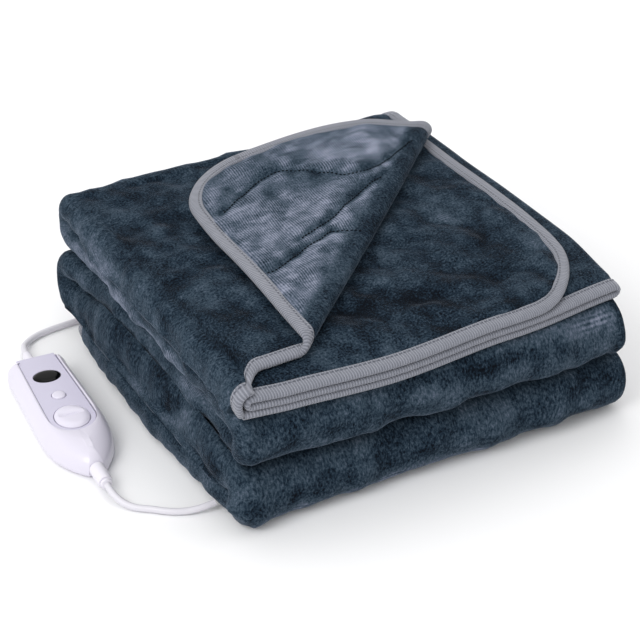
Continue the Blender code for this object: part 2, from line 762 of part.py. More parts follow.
def make_housing():
    """White shell, a stack of outlines, with the panel's recess, open at the flat end, and a
    well under each button."""
    rings = [housing_outline(*row[1:]) for row in HOUSING_LEVELS]
    housing = add_object("controller_housing", rings_mesh("controller_housing", rings),
                         WHITE_SHELL, 32.0)
    heights = (RECESS_FLOOR, HOUSING_TOP + CUT_PAST)
    shape = [panel_outline(-PANEL_GROOVE, height, -CUT_PAST) for height in heights]
    cut(housing, cutter("panel_recess", shape))
    for row in (SMALL_ROW, LARGE_ROW):
        grow = 2 * BUTTON_PLAY + FLANGE_WIDE
        shape = [oval(row, grow, WELL_FLOOR), oval(row, grow, RECESS_FLOOR + CUT_PAST)]
        cut(housing, cutter(row[0] + "_well", shape))


def make_panel():
    """Flat front panel with its edge eased, open at the window and the two buttons."""
    low = RECESS_FLOOR + PIECE_GAP
    rings = [panel_outline(0.0, low, PANEL_END),
             panel_outline(0.0, PANEL_TOP - PANEL_BEVEL, PANEL_END),
             panel_outline(PANEL_BEVEL, PANEL_TOP, PANEL_END + PANEL_BEVEL)]
    panel = add_object("front_panel", rings_mesh("front_panel", rings), WHITE_PANEL, 32.0)
    for row in (WINDOW_ROW, SMALL_ROW, LARGE_ROW):
        heights = (low - CUT_PAST, PANEL_TOP + CUT_PAST)
        shape = [oval(row, BUTTON_PLAY, height) for height in heights]
        cut(panel, cutter(row[0] + "_opening", shape))


# Outlines of the window's low dome above the panel: growth, rise
WINDOW_LEVELS = [(0.0, 0.0), (-0.0012, 0.0004), (-0.0040, 0.0007)]


def make_window():
    """Dark display window with a low dome, set in the panel."""
    rings = [oval(WINDOW_ROW, 0.0, RECESS_FLOOR + PIECE_GAP)]
    rings += [oval(WINDOW_ROW, grow, PANEL_TOP + rise) for grow, rise in WINDOW_LEVELS]
    add_object("display_window", rings_mesh("display_window", rings), DARK_WINDOW, 50.0)


def make_button(row, levels):
    """Push button: a flange under the panel, then its own outlines, origin on its axis."""
    rings = [oval(row, FLANGE_WIDE, RECESS_FLOOR - FLANGE_THICK),
             oval(row, FLANGE_WIDE, RECESS_FLOOR), oval(row, 0.0, RECESS_FLOOR)]
    rings += [oval(row, grow, PANEL_TOP + rise) for grow, rise in levels]
    made = add_object(row[0], rings_mesh(row[0], rings), WHITE_BUTTON, 32.0)
    centre = Vector(on_controller(row[1], 0.0, RECESS_FLOOR))
    for vertex in made.data.vertices:
        vertex.co -= centre
    made.location = centre


# Outlines of each button above the panel: growth, rise
SMALL_LEVELS = [(0.0, 0.0006), (-0.0008, 0.0011), (-0.0030, 0.0013)]
LARGE_LEVELS = [(0.0, 0.0014), (-0.0010, 0.0022), (-0.0030, 0.0022), (-0.0060, 0.0014),
                (-0.0095, 0.0011)]

make_housing()
make_panel()
make_window()
make_button(SMALL_ROW, SMALL_LEVELS)
make_button(LARGE_ROW, LARGE_LEVELS)


# ---------------------------------------------------------------- strain reliefs

CORD_RADIUS = 0.0025
SLEEVE_HEIGHT = 0.0078

# Sleeve profile, a row per ring: distance from the housing, radius
HEAD_SLEEVE = [(0.0, 0.0050), (0.003, 0.0048), (0.0034, 0.0043), (0.008, 0.0041),
               (0.0215, 0.0032), (0.0225, 0.0027)]
TAIL_SLEEVE = [(0.0, 0.0058), (0.004, 0.0056), (0.0048, 0.0050), (0.010, 0.0046),
               (0.0205, 0.0034), (0.0215, 0.0027)]


def turned(name, start, direction, profile, surface, count=14):
    """Round piece: profile rows of distance and radius carried round an axis."""
    direction = np.asarray(direction, float) / np.linalg.norm(direction)
    side = np.cross(direction, (0.0, 0.0, 1.0))
    side /= np.linalg.norm(side)
    up = np.cross(side, direction)
    angles = np.arange(count) * 2.0 * math.pi / count
    rings = []
    for distance, radius in profile:
        centre = np.asarray(start) + direction * distance
        rings.append(centre + radius * (np.cos(angles)[:, None] * side
                                        + np.sin(angles)[:, None] * up))
    return add_object(name, rings_mesh(name, rings), surface, 35.0)


FORWARD = np.array([CONTROL_AXIS[0], CONTROL_AXIS[1], 0.0])
HEAD_START = on_controller(CONTROL_HALF + PIECE_GAP, 0.0, SLEEVE_HEIGHT)
TAIL_START = on_controller(-CONTROL_HALF - PIECE_GAP, 0.0, SLEEVE_HEIGHT)
turned("mains_sleeve", HEAD_START, FORWARD, HEAD_SLEEVE, WHITE_SLEEVE)
turned("lead_sleeve", TAIL_START, -FORWARD, TAIL_SLEEVE, WHITE_SLEEVE)


# ---------------------------------------------------------------- cords, coil, tie, plug

CORD_REST = CORD_RADIUS + 0.0001
HEAD_TIP = HEAD_START + FORWARD * (HEAD_SLEEVE[-1][0] + PIECE_GAP) + PLAN_CENTRE
TAIL_TIP = TAIL_START - FORWARD * (TAIL_SLEEVE[-1][0] + PIECE_GAP) + PLAN_CENTRE

COIL_CENTRE = (0.165, 0.392)
COIL_RADIUS = 0.0300
COIL_HALF = 0.0091
COIL_LOW = 0.0014
COIL_FACET = 0.45                   # half length of a flat side over the section's half size
COIL_SIDES = 28
STRAIGHT_OUT = 0.007
TUBE_SPACING = 0.0085

# Routes over the ground, a row per place: u, v, height of the cord's middle
MAINS_ROUTE = [
    tuple(HEAD_TIP),
    tuple(HEAD_TIP + FORWARD * STRAIGHT_OUT),
    (-0.0492, 0.2745, 0.0054),
    (-0.0435, 0.2825, 0.0034),
    (-0.0335, 0.2890, CORD_REST),
    (-0.0180, 0.2925, CORD_REST),
    (0.0050, 0.2950, CORD_REST),
    (0.0350, 0.3010, CORD_REST),
    (0.0620, 0.3120, CORD_REST),
    (0.0850, 0.3310, CORD_REST),
    (0.1050, 0.3480, CORD_REST),
    (0.1250, 0.3555, 0.0034),
    (0.1435, 0.3573, 0.0052),
]
LEAD_ROUTE = [
    tuple(TAIL_TIP),
    tuple(TAIL_TIP - FORWARD * STRAIGHT_OUT),
    (-0.0624, 0.0590, 0.0052),
    (-0.0590, 0.0520, 0.0034),
    (-0.0535, 0.0455, CORD_REST),
    (-0.0460, 0.0400, CORD_REST),
    (-0.0350, 0.0310, CORD_REST),
    (-0.0230, 0.0250, 0.0030),
    (-0.0125, 0.0218, 0.0050),
    (-0.0047, 0.0212, 0.0062),
]
PLUG_ROUTE = [
    (0.1869, 0.3564, 0.0080),
    (0.2010, 0.3582, 0.0052),
    (0.2120, 0.3606, 0.0034),
    (0.2240, 0.3645, CORD_REST),
    (0.2400, 0.3740, CORD_REST),
    (0.2490, 0.3850, 0.0036),
    (0.2522, 0.3970, 0.0060),
    (0.2525, 0.4040, 0.0070),
    (0.2525, 0.4080, 0.0070),
]


def smooth_route(places, spacing):
    """Points spaced evenly along the smooth curve through the route's own points."""
    knots = np.array(places, float)
    gaps = np.sqrt(np.linalg.norm(np.diff(knots, axis=0), axis=1))
    at = np.concatenate([[0.0], np.cumsum(gaps)])
    slope = np.empty_like(knots)
    slope[0] = (knots[1] - knots[0]) / gaps[0]
    slope[-1] = (knots[-1] - knots[-2]) / gaps[-1]
    before = (knots[1:-1] - knots[:-2]) / gaps[:-1, None]
    after = (knots[2:] - knots[1:-1]) / gaps[1:, None]
    share = (gaps[:-1] / (gaps[:-1] + gaps[1:]))[:, None]
    slope[1:-1] = before * (1.0 - share) + after * share
    fine = []
    for k in range(len(knots) - 1):
        x = np.linspace(0.0, 1.0, 25)[:, None]
        fine.append(knots[k] * (1 + 2 * x) * (1 - x) ** 2 + knots[k + 1] * x * x * (3 - 2 * x)
                    + gaps[k] * (slope[k] * x * (1 - x) ** 2 + slope[k + 1] * x * x * (x - 1)))
    fine = np.concatenate(fine)
    walked = np.concatenate([[0.0], np.cumsum(np.linalg.norm(np.diff(fine, axis=0), axis=1))])
    count = max(4, int(round(walked[-1] / spacing)) + 1)
    goal = np.linspace(0.0, walked[-1], count)
    return np.stack([np.interp(goal, walked, fine[:, k]) for k in range(3)], axis=-1)


def make_tube(name, places):
    """Cord tube along a route, its ends closed."""
    points = smooth_route(places, TUBE_SPACING) - PLAN_CENTRE
    curve = bpy.data.curves.new(name, "CURVE")
    curve.dimensions = "3D"
    curve.bevel_depth = CORD_RADIUS
    curve.bevel_resolution = 2
    curve.use_fill_caps = True
    path = curve.splines.new("POLY")
    path.points.add(len(points) - 1)
    for slot, point in zip(path.points, points):
        slot.co = (*point, 1.0)
    curve.materials.append(WHITE_CORD)
    bpy.context.scene.collection.objects.link(bpy.data.objects.new(name, curve))


def make_coil():
    """Outer shape of the neat round coil: an eight-sided section carried round its middle."""
    corner = COIL_HALF * COIL_FACET
    section = [(COIL_HALF, corner), (corner, COIL_HALF), (-corner, COIL_HALF),
               (-COIL_HALF, corner), (-COIL_HALF, -corner), (-corner, -COIL_HALF),
               (corner, -COIL_HALF), (COIL_HALF, -corner)]
    rings = []
    for angle in np.arange(COIL_SIDES) * 2.0 * math.pi / COIL_SIDES:
        ring = []
        for out, up in section:
            radius = COIL_RADIUS + out
            ring.append((COIL_CENTRE[0] + radius * math.cos(angle),
                         COIL_CENTRE[1] + radius * math.sin(angle),
                         COIL_LOW + COIL_HALF + up))
        rings.append(np.array(ring) - PLAN_CENTRE)
    add_object("mains_coil", rings_mesh("mains_coil", rings, closed=True), WHITE_CORD, 60.0)


TIE_THICK = 0.0010
TIE_HALF_WIDE = 0.0035
TIE_SLACK = 0.0004                  # the coil's inner side bends towards the band's edges


def make_tie():
    """Band round the coil's section at the back, clear of the cord by the piece gap."""
    inner = COIL_HALF + PIECE_GAP
    outer = inner + TIE_THICK
    rings = []
    for side, half in ((-1, outer), (1, outer), (1, inner), (-1, inner)):
        ring = []
        for out, up in ((1, -1), (1, 1), (-1, 1), (-1, -1)):
            slack = TIE_SLACK if out < 0 else 0.0
            middle = COIL_CENTRE[1] + COIL_RADIUS - slack
            ring.append((COIL_CENTRE[0] + side * TIE_HALF_WIDE, middle + out * half,
                         COIL_LOW + COIL_HALF + up * half))
        rings.append(np.array(ring) - PLAN_CENTRE)
    add_object("coil_tie", rings_mesh("coil_tie", rings, closed=True), WHITE_TIE, 35.0)


PLUG_START = np.array(PLUG_ROUTE[-1]) + np.array([0.0, PIECE_GAP, 0.0])
PLUG_HALF_THICK = 0.0069

# Plug body, a row per outline: distance from the cord, half width, half thickness
PLUG_BODY = [
    (0.000, 0.0034, 0.0034),
    (0.008, 0.0044, 0.0042),
    (0.014, 0.0075, 0.0056),
    (0.021, 0.0131, PLUG_HALF_THICK),
    (0.034, 0.0131, PLUG_HALF_THICK),
    (0.0355, 0.0121, 0.0060),
]
PIN_PROFILE = [(0.0, 0.0020), (0.0175, 0.0020), (0.0188, 0.0014), (0.0192, 0.0007)]
PIN_SPACING = 0.0186
PLUG_FLAT = 0.55                    # flat share of the body's broad side
PLUG_SIDE = 0.35                    # and of its narrow side


def make_plug():
    """Flat two-pin plug lying on its broad side beside the coil."""
    rings = []
    for distance, wide, thick in PLUG_BODY:
        corner_w = wide * PLUG_FLAT
        corner_t = thick * PLUG_SIDE
        section = [(wide, corner_t), (corner_w, thick), (-corner_w, thick), (-wide, corner_t),
                   (-wide, -corner_t), (-corner_w, -thick), (corner_w, -thick),
                   (wide, -corner_t)]
        ring = [PLUG_START + np.array([out, distance, up]) for out, up in section]
        rings.append(np.array(ring) - PLAN_CENTRE)
    add_object("mains_plug", rings_mesh("mains_plug", rings), WHITE_SLEEVE, 40.0)
    face = PLUG_START + np.array([0.0, PLUG_BODY[-1][0] + PIECE_GAP, 0.0]) - PLAN_CENTRE
    for name, side in (("plug_pin_left", -1), ("plug_pin_right", 1)):
        start = face + np.array([side * PIN_SPACING / 2, 0.0, 0.0])
        turned(name, start, (0.0, 1.0, 0.0), PIN_PROFILE, BRASS_PIN, 10)


make_tube("mains_cord", MAINS_ROUTE)
make_tube("blanket_lead", LEAD_ROUTE)
make_tube("plug_cord", PLUG_ROUTE)
make_coil()
make_tie()
make_plug()
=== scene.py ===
"""Looks of the folded electric heated blanket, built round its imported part.

Metres, +Z up.  The folding plan is measured from the front left corner of the stack: u runs
to the right along the front, v to the back and z up.  The plan less PLAN_CENTRE is the world.
"""

import math

import bpy
import numpy as np
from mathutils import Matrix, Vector


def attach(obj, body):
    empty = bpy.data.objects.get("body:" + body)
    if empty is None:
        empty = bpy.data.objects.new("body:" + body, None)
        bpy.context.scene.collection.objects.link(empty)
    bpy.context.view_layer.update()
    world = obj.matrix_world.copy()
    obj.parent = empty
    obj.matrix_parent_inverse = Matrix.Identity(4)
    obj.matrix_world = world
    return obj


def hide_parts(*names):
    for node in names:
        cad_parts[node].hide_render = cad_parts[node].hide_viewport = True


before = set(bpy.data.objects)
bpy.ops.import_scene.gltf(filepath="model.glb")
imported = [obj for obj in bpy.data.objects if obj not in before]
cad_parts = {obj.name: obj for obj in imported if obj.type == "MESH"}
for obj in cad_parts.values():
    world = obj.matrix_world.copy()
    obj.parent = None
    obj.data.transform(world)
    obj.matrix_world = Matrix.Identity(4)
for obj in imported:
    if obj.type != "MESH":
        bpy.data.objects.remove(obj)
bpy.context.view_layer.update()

# ---------------------------------------------------------------- camera, floor and light
# A long lens a metre and a half away, looking down at the front left corner; a pale matt
# floor, a bright even room, a large soft lamp over the left shoulder and a weak one behind.

PLAN_CENTRE = np.array([0.12025, 0.14885, 0.0])
EYE_PLAN = (-0.4552561, -0.9800530, 0.834432)
EYE_HEADING = (0.46982435, 0.88275992)
EYE_DOWN = math.radians(31.8)
EYE_LENS = 110.756                  # millimetres, as the sensor's width
EYE_SENSOR = 36.0
FLOOR_HALF = 4.0
FLOOR_LOW = 0.0004
ROOM_LIGHT = 0.95

# Lamps, a row each: name, place in the world, side of its square, power in watts
LAMPS = [
    ("key_lamp", (-1.25, -0.60, 1.30), 0.9, 13.0),
    ("top_lamp", (0.25, 0.55, 1.50), 0.9, 3.0),
]


def linear(code):
    """Linear colour of an sRGB hex code: each channel's display value with its gamma undone."""
    found = []
    for place in (0, 2, 4):
        value = int(code[place:place + 2], 16) / 255.0
        found.append(value / 12.92 if value <= 0.04045 else ((value + 0.055) / 1.055) ** 2.4)
    return (*found, 1.0)


def add_node(tree, kind, sockets, **settings):
    """Node of one kind with its settings; each socket is given a value or a link."""
    made = tree.nodes.new(kind)
    for name, value in settings.items():
        setattr(made, name, value)
    for socket, value in sockets.items():
        if isinstance(value, bpy.types.NodeSocket):
            tree.links.new(value, made.inputs[socket])
        else:
            made.inputs[socket].default_value = value
    return made


def new_material(name, code, roughness, **sockets):
    """Principled material of one colour; returns it with its node tree and shader."""
    made = bpy.data.materials.new(name)
    made.use_nodes = True
    shader = made.node_tree.nodes["Principled BSDF"]
    shader.inputs["Base Color"].default_value = linear(code)
    shader.inputs["Roughness"].default_value = roughness
    for socket, value in sockets.items():
        shader.inputs[socket.replace("_", " ")].default_value = value
    return made, made.node_tree, shader


def add_piece(name, points, faces, surface, body=None, sharp=40.0):
    """Smooth mesh object, with edges sharper than `sharp` degrees left crisp."""
    mesh = bpy.data.meshes.new(name)
    mesh.from_pydata(np.asarray(points).reshape(-1, 3).tolist(), [], faces)
    mesh.materials.append(surface)
    mesh.shade_smooth()
    mesh.set_sharp_from_angle(angle=math.radians(sharp))
    made = bpy.data.objects.new(name, mesh)
    bpy.context.scene.collection.objects.link(made)
    if body:
        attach(made, body)
    return made


eye = bpy.data.cameras.new("eye")
eye.sensor_width = EYE_SENSOR
eye.lens = EYE_LENS
eye.clip_start = 0.05
eye_object = bpy.data.objects.new("eye", eye)
bpy.context.scene.collection.objects.link(eye_object)
heading = Vector((EYE_HEADING[0] * math.cos(EYE_DOWN), EYE_HEADING[1] * math.cos(EYE_DOWN),
                  -math.sin(EYE_DOWN)))
eye_object.location = Vector(np.array(EYE_PLAN) - PLAN_CENTRE)
eye_object.rotation_euler = heading.to_track_quat("-Z", "Y").to_euler()
bpy.context.scene.camera = eye_object
bpy.context.scene.view_settings.view_transform = "Standard"

floor_paint, _, _ = new_material("pale_matt_floor", "F6F6F7", 0.9)
floor_corners = [(x * FLOOR_HALF, y * FLOOR_HALF, -FLOOR_LOW)
                 for x, y in ((-1, -1), (1, -1), (1, 1), (-1, 1))]
floor = add_piece("floor", floor_corners, [(0, 1, 2, 3)], floor_paint)

room = bpy.data.worlds.new("room")
room.use_nodes = True
room.node_tree.nodes["Background"].inputs["Color"].default_value = linear("FFFFFF")
room.node_tree.nodes["Background"].inputs["Strength"].default_value = ROOM_LIGHT
bpy.context.scene.world = room
for name, place, size, power in LAMPS:
    lamp = bpy.data.lights.new(name, "AREA")
    lamp.size = size
    lamp.energy = power
    lamp_object = bpy.data.objects.new(name, lamp)
    lamp_object.location = place
    lamp_object.rotation_euler = (-Vector(place)).to_track_quat("-Z", "Y").to_euler()
    bpy.context.scene.collection.objects.link(lamp_object)

# ---------------------------------------------------------------- cords, coil, tie and plug
# The mains lead is a round 5 mm cord in a light grey jacket.  It leaves the controller's flat
# end, lies on the ground behind the blanket and is wound in seven turns held by one band, with
# a flat two-pin plug beside it.  A short lead runs from the round end in under the cloth.

CORD_RADIUS = 0.0025
CORD_REST = CORD_RADIUS + 0.0001
PIECE_GAP = 0.0003
SLEEVE_HEIGHT = 0.0078              # the sleeves' axis over the ground
STRAIGHT_OUT = 0.007                # a cord leaves its sleeve straight for this far
CONTROL_TAIL = np.array([-0.0627, 0.0950])
CONTROL_HEAD = np.array([-0.0549, 0.2360])
CONTROL_HALF = float(np.linalg.norm(CONTROL_HEAD - CONTROL_TAIL)) / 2
CONTROL_AXIS = (CONTROL_HEAD - CONTROL_TAIL) / (2 * CONTROL_HALF)
CONTROL_MIDDLE = (CONTROL_HEAD + CONTROL_TAIL) / 2
HEAD_SLEEVE_LONG = 0.0225
TAIL_SLEEVE_LONG = 0.0215


def on_controller(along_axis, side, height):
    """World points: CONTROL_MIDDLE + along_axis x its axis + side x its right, at a height."""
    along_axis, side, height = np.broadcast_arrays(along_axis, side, height)
    right = np.array([CONTROL_AXIS[1], -CONTROL_AXIS[0]])
    plan = CONTROL_MIDDLE + along_axis[..., None] * CONTROL_AXIS + side[..., None] * right
    return np.concatenate([plan, height[..., None]], axis=-1) - PLAN_CENTRE


FORWARD = np.array([CONTROL_AXIS[0], CONTROL_AXIS[1], 0.0])
HEAD_START = on_controller(CONTROL_HALF + PIECE_GAP, 0.0, SLEEVE_HEIGHT)
TAIL_START = on_controller(-CONTROL_HALF - PIECE_GAP, 0.0, SLEEVE_HEIGHT)
HEAD_TIP = HEAD_START + FORWARD * (HEAD_SLEEVE_LONG + PIECE_GAP) + PLAN_CENTRE
TAIL_TIP = TAIL_START - FORWARD * (TAIL_SLEEVE_LONG + PIECE_GAP) + PLAN_CENTRE

# Routes in the plan, a row per place: u, v, height of the cord's middle
MAINS_ROUTE = [
    tuple(HEAD_TIP),
    tuple(HEAD_TIP + FORWARD * STRAIGHT_OUT),
    (-0.0492, 0.2745, 0.0054),
    (-0.0435, 0.2825, 0.0034),
    (-0.0335, 0.2890, CORD_REST),
    (-0.0180, 0.2925, CORD_REST),
    (0.0050, 0.2950, CORD_REST),
    (0.0350, 0.3010, CORD_REST),
    (0.0620, 0.3120, CORD_REST),
    (0.0850, 0.3310, CORD_REST),
    (0.1050, 0.3480, CORD_REST),
    (0.1250, 0.3555, 0.0034),
    (0.1435, 0.3573, 0.0052),
]
PLUG_ROUTE = [
    (0.1780, 0.3556, 0.0098),
    (0.1869, 0.3564, 0.0080),
    (0.2010, 0.3582, 0.0052),
    (0.2120, 0.3606, 0.0034),
    (0.2240, 0.3645, CORD_REST),
    (0.2400, 0.3740, CORD_REST),
    (0.2490, 0.3850, 0.0036),
    (0.2522, 0.3970, 0.0060),
    (0.2525, 0.4040, 0.0070),
    (0.2525, 0.4080, 0.0070),
]
LEAD_ROUTE = [
    tuple(TAIL_TIP),
    tuple(TAIL_TIP - FORWARD * STRAIGHT_OUT),
    (-0.0624, 0.0590, 0.0052),
    (-0.0590, 0.0520, 0.0034),
    (-0.0535, 0.0455, CORD_REST),
    (-0.0460, 0.0400, CORD_REST),
    (-0.0350, 0.0310, CORD_REST),
    (-0.0230, 0.0250, 0.0030),
    (-0.0125, 0.0218, 0.0050),
    (-0.0047, 0.0212, 0.0062),
]
COIL_CENTRE = np.array([0.165, 0.392, 0.0105])
COIL_RADIUS = 0.0300
COIL_HALF = 0.0091                  # half the coil's section, strands and all
COIL_STRAND = 0.0066                # each strand's middle from the middle of the coil's section
COIL_TURNS = 7
TURN_POINTS = 24                    # points on the coil's middle line in each turn
STRAND_STEP = math.pi / 4           # how far the strand moves round the section in one turn
ROUTE_SPACING = 0.0125
LEAD_SPACING = 0.0062
ROUTE_FINE = 400                    # places at which a route's curve is measured


def through(x, known_x, known):
    """Smooth curve through known values: cubic pieces with slopes weighted by the spacing."""
    gaps = np.diff(known_x)
    extra = [1] * (np.ndim(known) - 1)
    rates = np.diff(known, axis=0) / gaps.reshape(-1, *extra)
    share = (gaps[:-1] / (gaps[:-1] + gaps[1:])).reshape(-1, *extra)
    inner = rates[:-1] * (1 - share) + rates[1:] * share
    slopes = np.concatenate([rates[:1], inner, rates[-1:]])
    cell = np.clip(np.searchsorted(known_x, x, side="right") - 1, 0, len(gaps) - 1)
    q = (x - known_x[cell]) / gaps[cell]
    q = q.reshape(*q.shape, *extra)
    gap = gaps[cell].reshape(q.shape)
    first, last = known[cell], known[cell + 1]
    return (first * (1 + 2 * q) * (1 - q) ** 2 + last * q * q * (3 - 2 * q)
            + gap * (slopes[cell] * q * (1 - q) ** 2 + slopes[cell + 1] * q * q * (q - 1)))


def walked_to(points):
    """Distance along a line of points from its start to each of them."""
    return np.concatenate([[0], np.cumsum(np.linalg.norm(np.diff(points, axis=0), axis=1))])


def route_points(places, spacing):
    """Points about `spacing` apart on the smooth curve through a route's places."""
    knots = np.array(places, float)
    at = np.concatenate([[0], np.cumsum(np.sqrt(np.linalg.norm(np.diff(knots, axis=0), axis=1)))])
    fine = through(np.linspace(0, at[-1], ROUTE_FINE), at, knots)
    walked = walked_to(fine)
    goal = np.linspace(0, walked[-1], int(round(walked[-1] / spacing)) + 1)
    return np.stack([np.interp(goal, walked, fine[:, k]) for k in range(3)], axis=-1)


def add_cord(name, points, radius, surface, body):
    """Round cord on one open Bezier line: each point's handles lie along the line there, a
    third of the way to its neighbours."""
    line = bpy.data.curves.new(name, "CURVE")
    line.dimensions = "3D"
    line.bevel_depth = radius
    line.bevel_resolution = 4
    line.resolution_u = 4
    line.use_fill_caps = True
    steps = np.linalg.norm(np.diff(points, axis=0), axis=1)[:, None]
    rates = np.diff(points, axis=0) / steps
    inner = rates[:-1] * steps[1:] + rates[1:] * steps[:-1]
    heading = np.concatenate([rates[:1], inner, rates[-1:]])
    heading /= np.linalg.norm(heading, axis=1)[:, None]
    path = line.splines.new("BEZIER")
    path.bezier_points.add(len(points) - 1)
    before = np.concatenate([steps[:1], steps]) / 3
    after = np.concatenate([steps, steps[-1:]]) / 3
    path.bezier_points.foreach_set("co", points.ravel())
    path.bezier_points.foreach_set("handle_left", (points - heading * before).ravel())
    path.bezier_points.foreach_set("handle_right", (points + heading * after).ravel())
    line.materials.append(surface)
    made = bpy.data.objects.new(name, line)
    bpy.context.scene.collection.objects.link(made)
    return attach(made, body)


def ring_faces(rows, columns, closed_rows=False, capped=False, start=0):
    """Quads between neighbouring rings of points, each ring closed on itself."""
    row = np.arange(rows if closed_rows else rows - 1)[:, None]
    column = np.arange(columns)[None, :]
    low = start + row * columns
    high = start + (row + 1) % rows * columns
    following = (column + 1) % columns
    quads = np.stack([low + column, low + following, high + following, high + column], axis=-1)
    faces = quads.reshape(-1, 4).tolist()
    if capped:
        faces.append(list(range(start + columns - 1, start - 1, -1)))
        faces.append(list(range(start + (rows - 1) * columns, start + rows * columns)))
    return faces


def add_rings(name, rings, surface, body, sharp=40.0):
    """Solid skinned over rings of points and closed at both ends."""
    faces = ring_faces(len(rings), rings.shape[1], capped=True)
    return add_piece(name, rings, faces, surface, body, sharp)


def angles_round(count):
    """Angles of evenly spaced places round a circle."""
    return np.arange(count) * 2 * math.pi / count


def turned_rings(start, direction, profile, count=40):
    """Rings round an axis: at each profile distance a circle of the profile's radius."""
    direction = np.asarray(direction, float) / np.linalg.norm(direction)
    across = np.cross(direction, (0.0, 0.0, 1.0))
    across /= np.linalg.norm(across)
    up = np.cross(direction, across)
    angle = angles_round(count)
    wheel = np.cos(angle)[:, None] * across - np.sin(angle)[:, None] * up
    profile = np.asarray(profile)
    centres = np.asarray(start) + profile[:, :1] * direction
    return centres[:, None, :] + profile[:, 1:, None] * wheel[None]


# The jacket is a pale lavender grey, smooth, with a soft long gleam
jacket, _, _ = new_material("grey_white_cord_jacket", "D4D2D9", 0.42)
turn = np.arange(COIL_TURNS * TURN_POINTS + 1) / TURN_POINTS
round_angle = 2 * math.pi * turn - math.pi / 2
strand_angle = -STRAND_STEP * (1 + turn)
strand_out = COIL_RADIUS + COIL_STRAND * np.cos(strand_angle)
coil_points = COIL_CENTRE + np.stack([strand_out * np.cos(round_angle),
                                      strand_out * np.sin(round_angle),
                                      COIL_STRAND * np.sin(strand_angle)], axis=-1)
mains_in = route_points(MAINS_ROUTE + [tuple(coil_points[0])], ROUTE_SPACING)
mains_out = route_points([tuple(coil_points[-1])] + PLUG_ROUTE, ROUTE_SPACING)
mains_points = np.concatenate([mains_in[:-1], coil_points, mains_out[1:]]) - PLAN_CENTRE
mains_lead = add_cord("mains_lead", mains_points, CORD_RADIUS, jacket, "blanket")
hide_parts("mains_cord", "mains_coil", "plug_cord")
lead_points = route_points(LEAD_ROUTE, LEAD_SPACING) - PLAN_CENTRE
short_lead = add_cord("short_lead", lead_points, CORD_RADIUS, jacket, "blanket")
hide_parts("blanket_lead")

# Band round the coil's section: thickness, half its width, and points in each of its rings
TIE_THICK = 0.0009
TIE_HALF_WIDE = 0.0033
TIE_CORNERS = 40


def tie_rings():
    """Flat band: rounded squares |x|^4 + |y|^4 = 1 at two sizes, joined at both edges."""
    angle = angles_round(TIE_CORNERS)
    stretch = (np.abs(np.cos(angle)) ** 4 + np.abs(np.sin(angle)) ** 4) ** -0.25
    sizes = COIL_HALF + PIECE_GAP + np.array([0.0, TIE_THICK, TIE_THICK, 0.0])
    offsets = np.array([-1, -1, 1, 1]) * TIE_HALF_WIDE
    out = sizes[:, None] * stretch * np.cos(angle)
    up = sizes[:, None] * stretch * np.sin(angle)
    middle = COIL_CENTRE + np.array([0.0, COIL_RADIUS, 0.0]) - PLAN_CENTRE
    flat = np.broadcast_to(offsets[:, None], out.shape)
    return middle + np.stack([flat, out, up], axis=-1)


tie_plastic, _, _ = new_material("white_nylon_band", "EFEFF2", 0.5)
band = add_piece("coil_band", tie_rings(), ring_faces(4, TIE_CORNERS, closed_rows=True),
                 tie_plastic, "blanket")
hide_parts("coil_tie")

# Plug body, a row per outline: distance from the cord, half width, half thickness
PLUG_BODY = np.array([
    (0.0000, 0.0030, 0.0030),
    (0.0004, 0.0034, 0.0034),
    (0.0080, 0.0044, 0.0042),
    (0.0140, 0.0075, 0.0056),
    (0.0210, 0.0129, 0.0069),
    (0.0260, 0.0132, 0.0069),
    (0.0330, 0.0131, 0.0069),
    (0.0348, 0.0127, 0.0064),
    (0.0355, 0.0119, 0.0057),
])
PLUG_FACE = 0.0355
PLUG_POWER = 2.6                    # how square the plug's outlines are; 2 would be an oval
PLUG_COLUMNS = 44
PLUG_STATIONS = np.concatenate([[0.0, 0.0004], np.linspace(0.003, 0.033, 21),
                                [0.0342, 0.0351, PLUG_FACE]])

# Round pins: their spacing, and a row per ring: distance from the plug's face, radius
PIN_SPACING = 0.0186
PIN_COLUMNS = 24
PIN_PROFILE = [(0.0, 0.0020), (0.0165, 0.0020), (0.0178, 0.0017), (0.0188, 0.0011),
               (0.0192, 0.0004)]


def plug_rings(start):
    """Body of the plug: outlines |x|^power + |y|^power = 1 scaled to the smoothed size table."""
    sizes = through(PLUG_STATIONS, PLUG_BODY[:, 0], PLUG_BODY[:, 1:])
    angle = angles_round(PLUG_COLUMNS)
    total = np.abs(np.cos(angle)) ** PLUG_POWER + np.abs(np.sin(angle)) ** PLUG_POWER
    stretch = total ** (-1 / PLUG_POWER)
    wide = sizes[:, :1] * stretch * np.cos(angle)
    high = sizes[:, 1:] * stretch * np.sin(angle)
    deep = np.broadcast_to(PLUG_STATIONS[:, None], wide.shape)
    return start + np.stack([-wide, deep, high], axis=-1)


# The plug and sleeves look like the jacket, a little whiter; the pins are warm bright metal
sleeve_rubber, _, _ = new_material("white_soft_rubber", "DEDBE4", 0.42)
pin_metal, _, _ = new_material("nickelled_brass", "C9C6BD", 0.25, Metallic=1.0)
plug_start = np.array(PLUG_ROUTE[-1]) + np.array([0.0, PIECE_GAP, 0.0]) - PLAN_CENTRE
plug = add_rings("flat_plug", plug_rings(plug_start), sleeve_rubber, "blanket")
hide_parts("mains_plug")
for node_name, side in (("plug_pin_left", -1), ("plug_pin_right", 1)):
    pin_start = plug_start + np.array([side * PIN_SPACING / 2, PLUG_FACE + PIECE_GAP, 0.0])
    rings = turned_rings(pin_start, (0.0, 1.0, 0.0), PIN_PROFILE, PIN_COLUMNS)
    pin = add_rings(node_name + "_round", rings, pin_metal, "blanket")
    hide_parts(node_name)

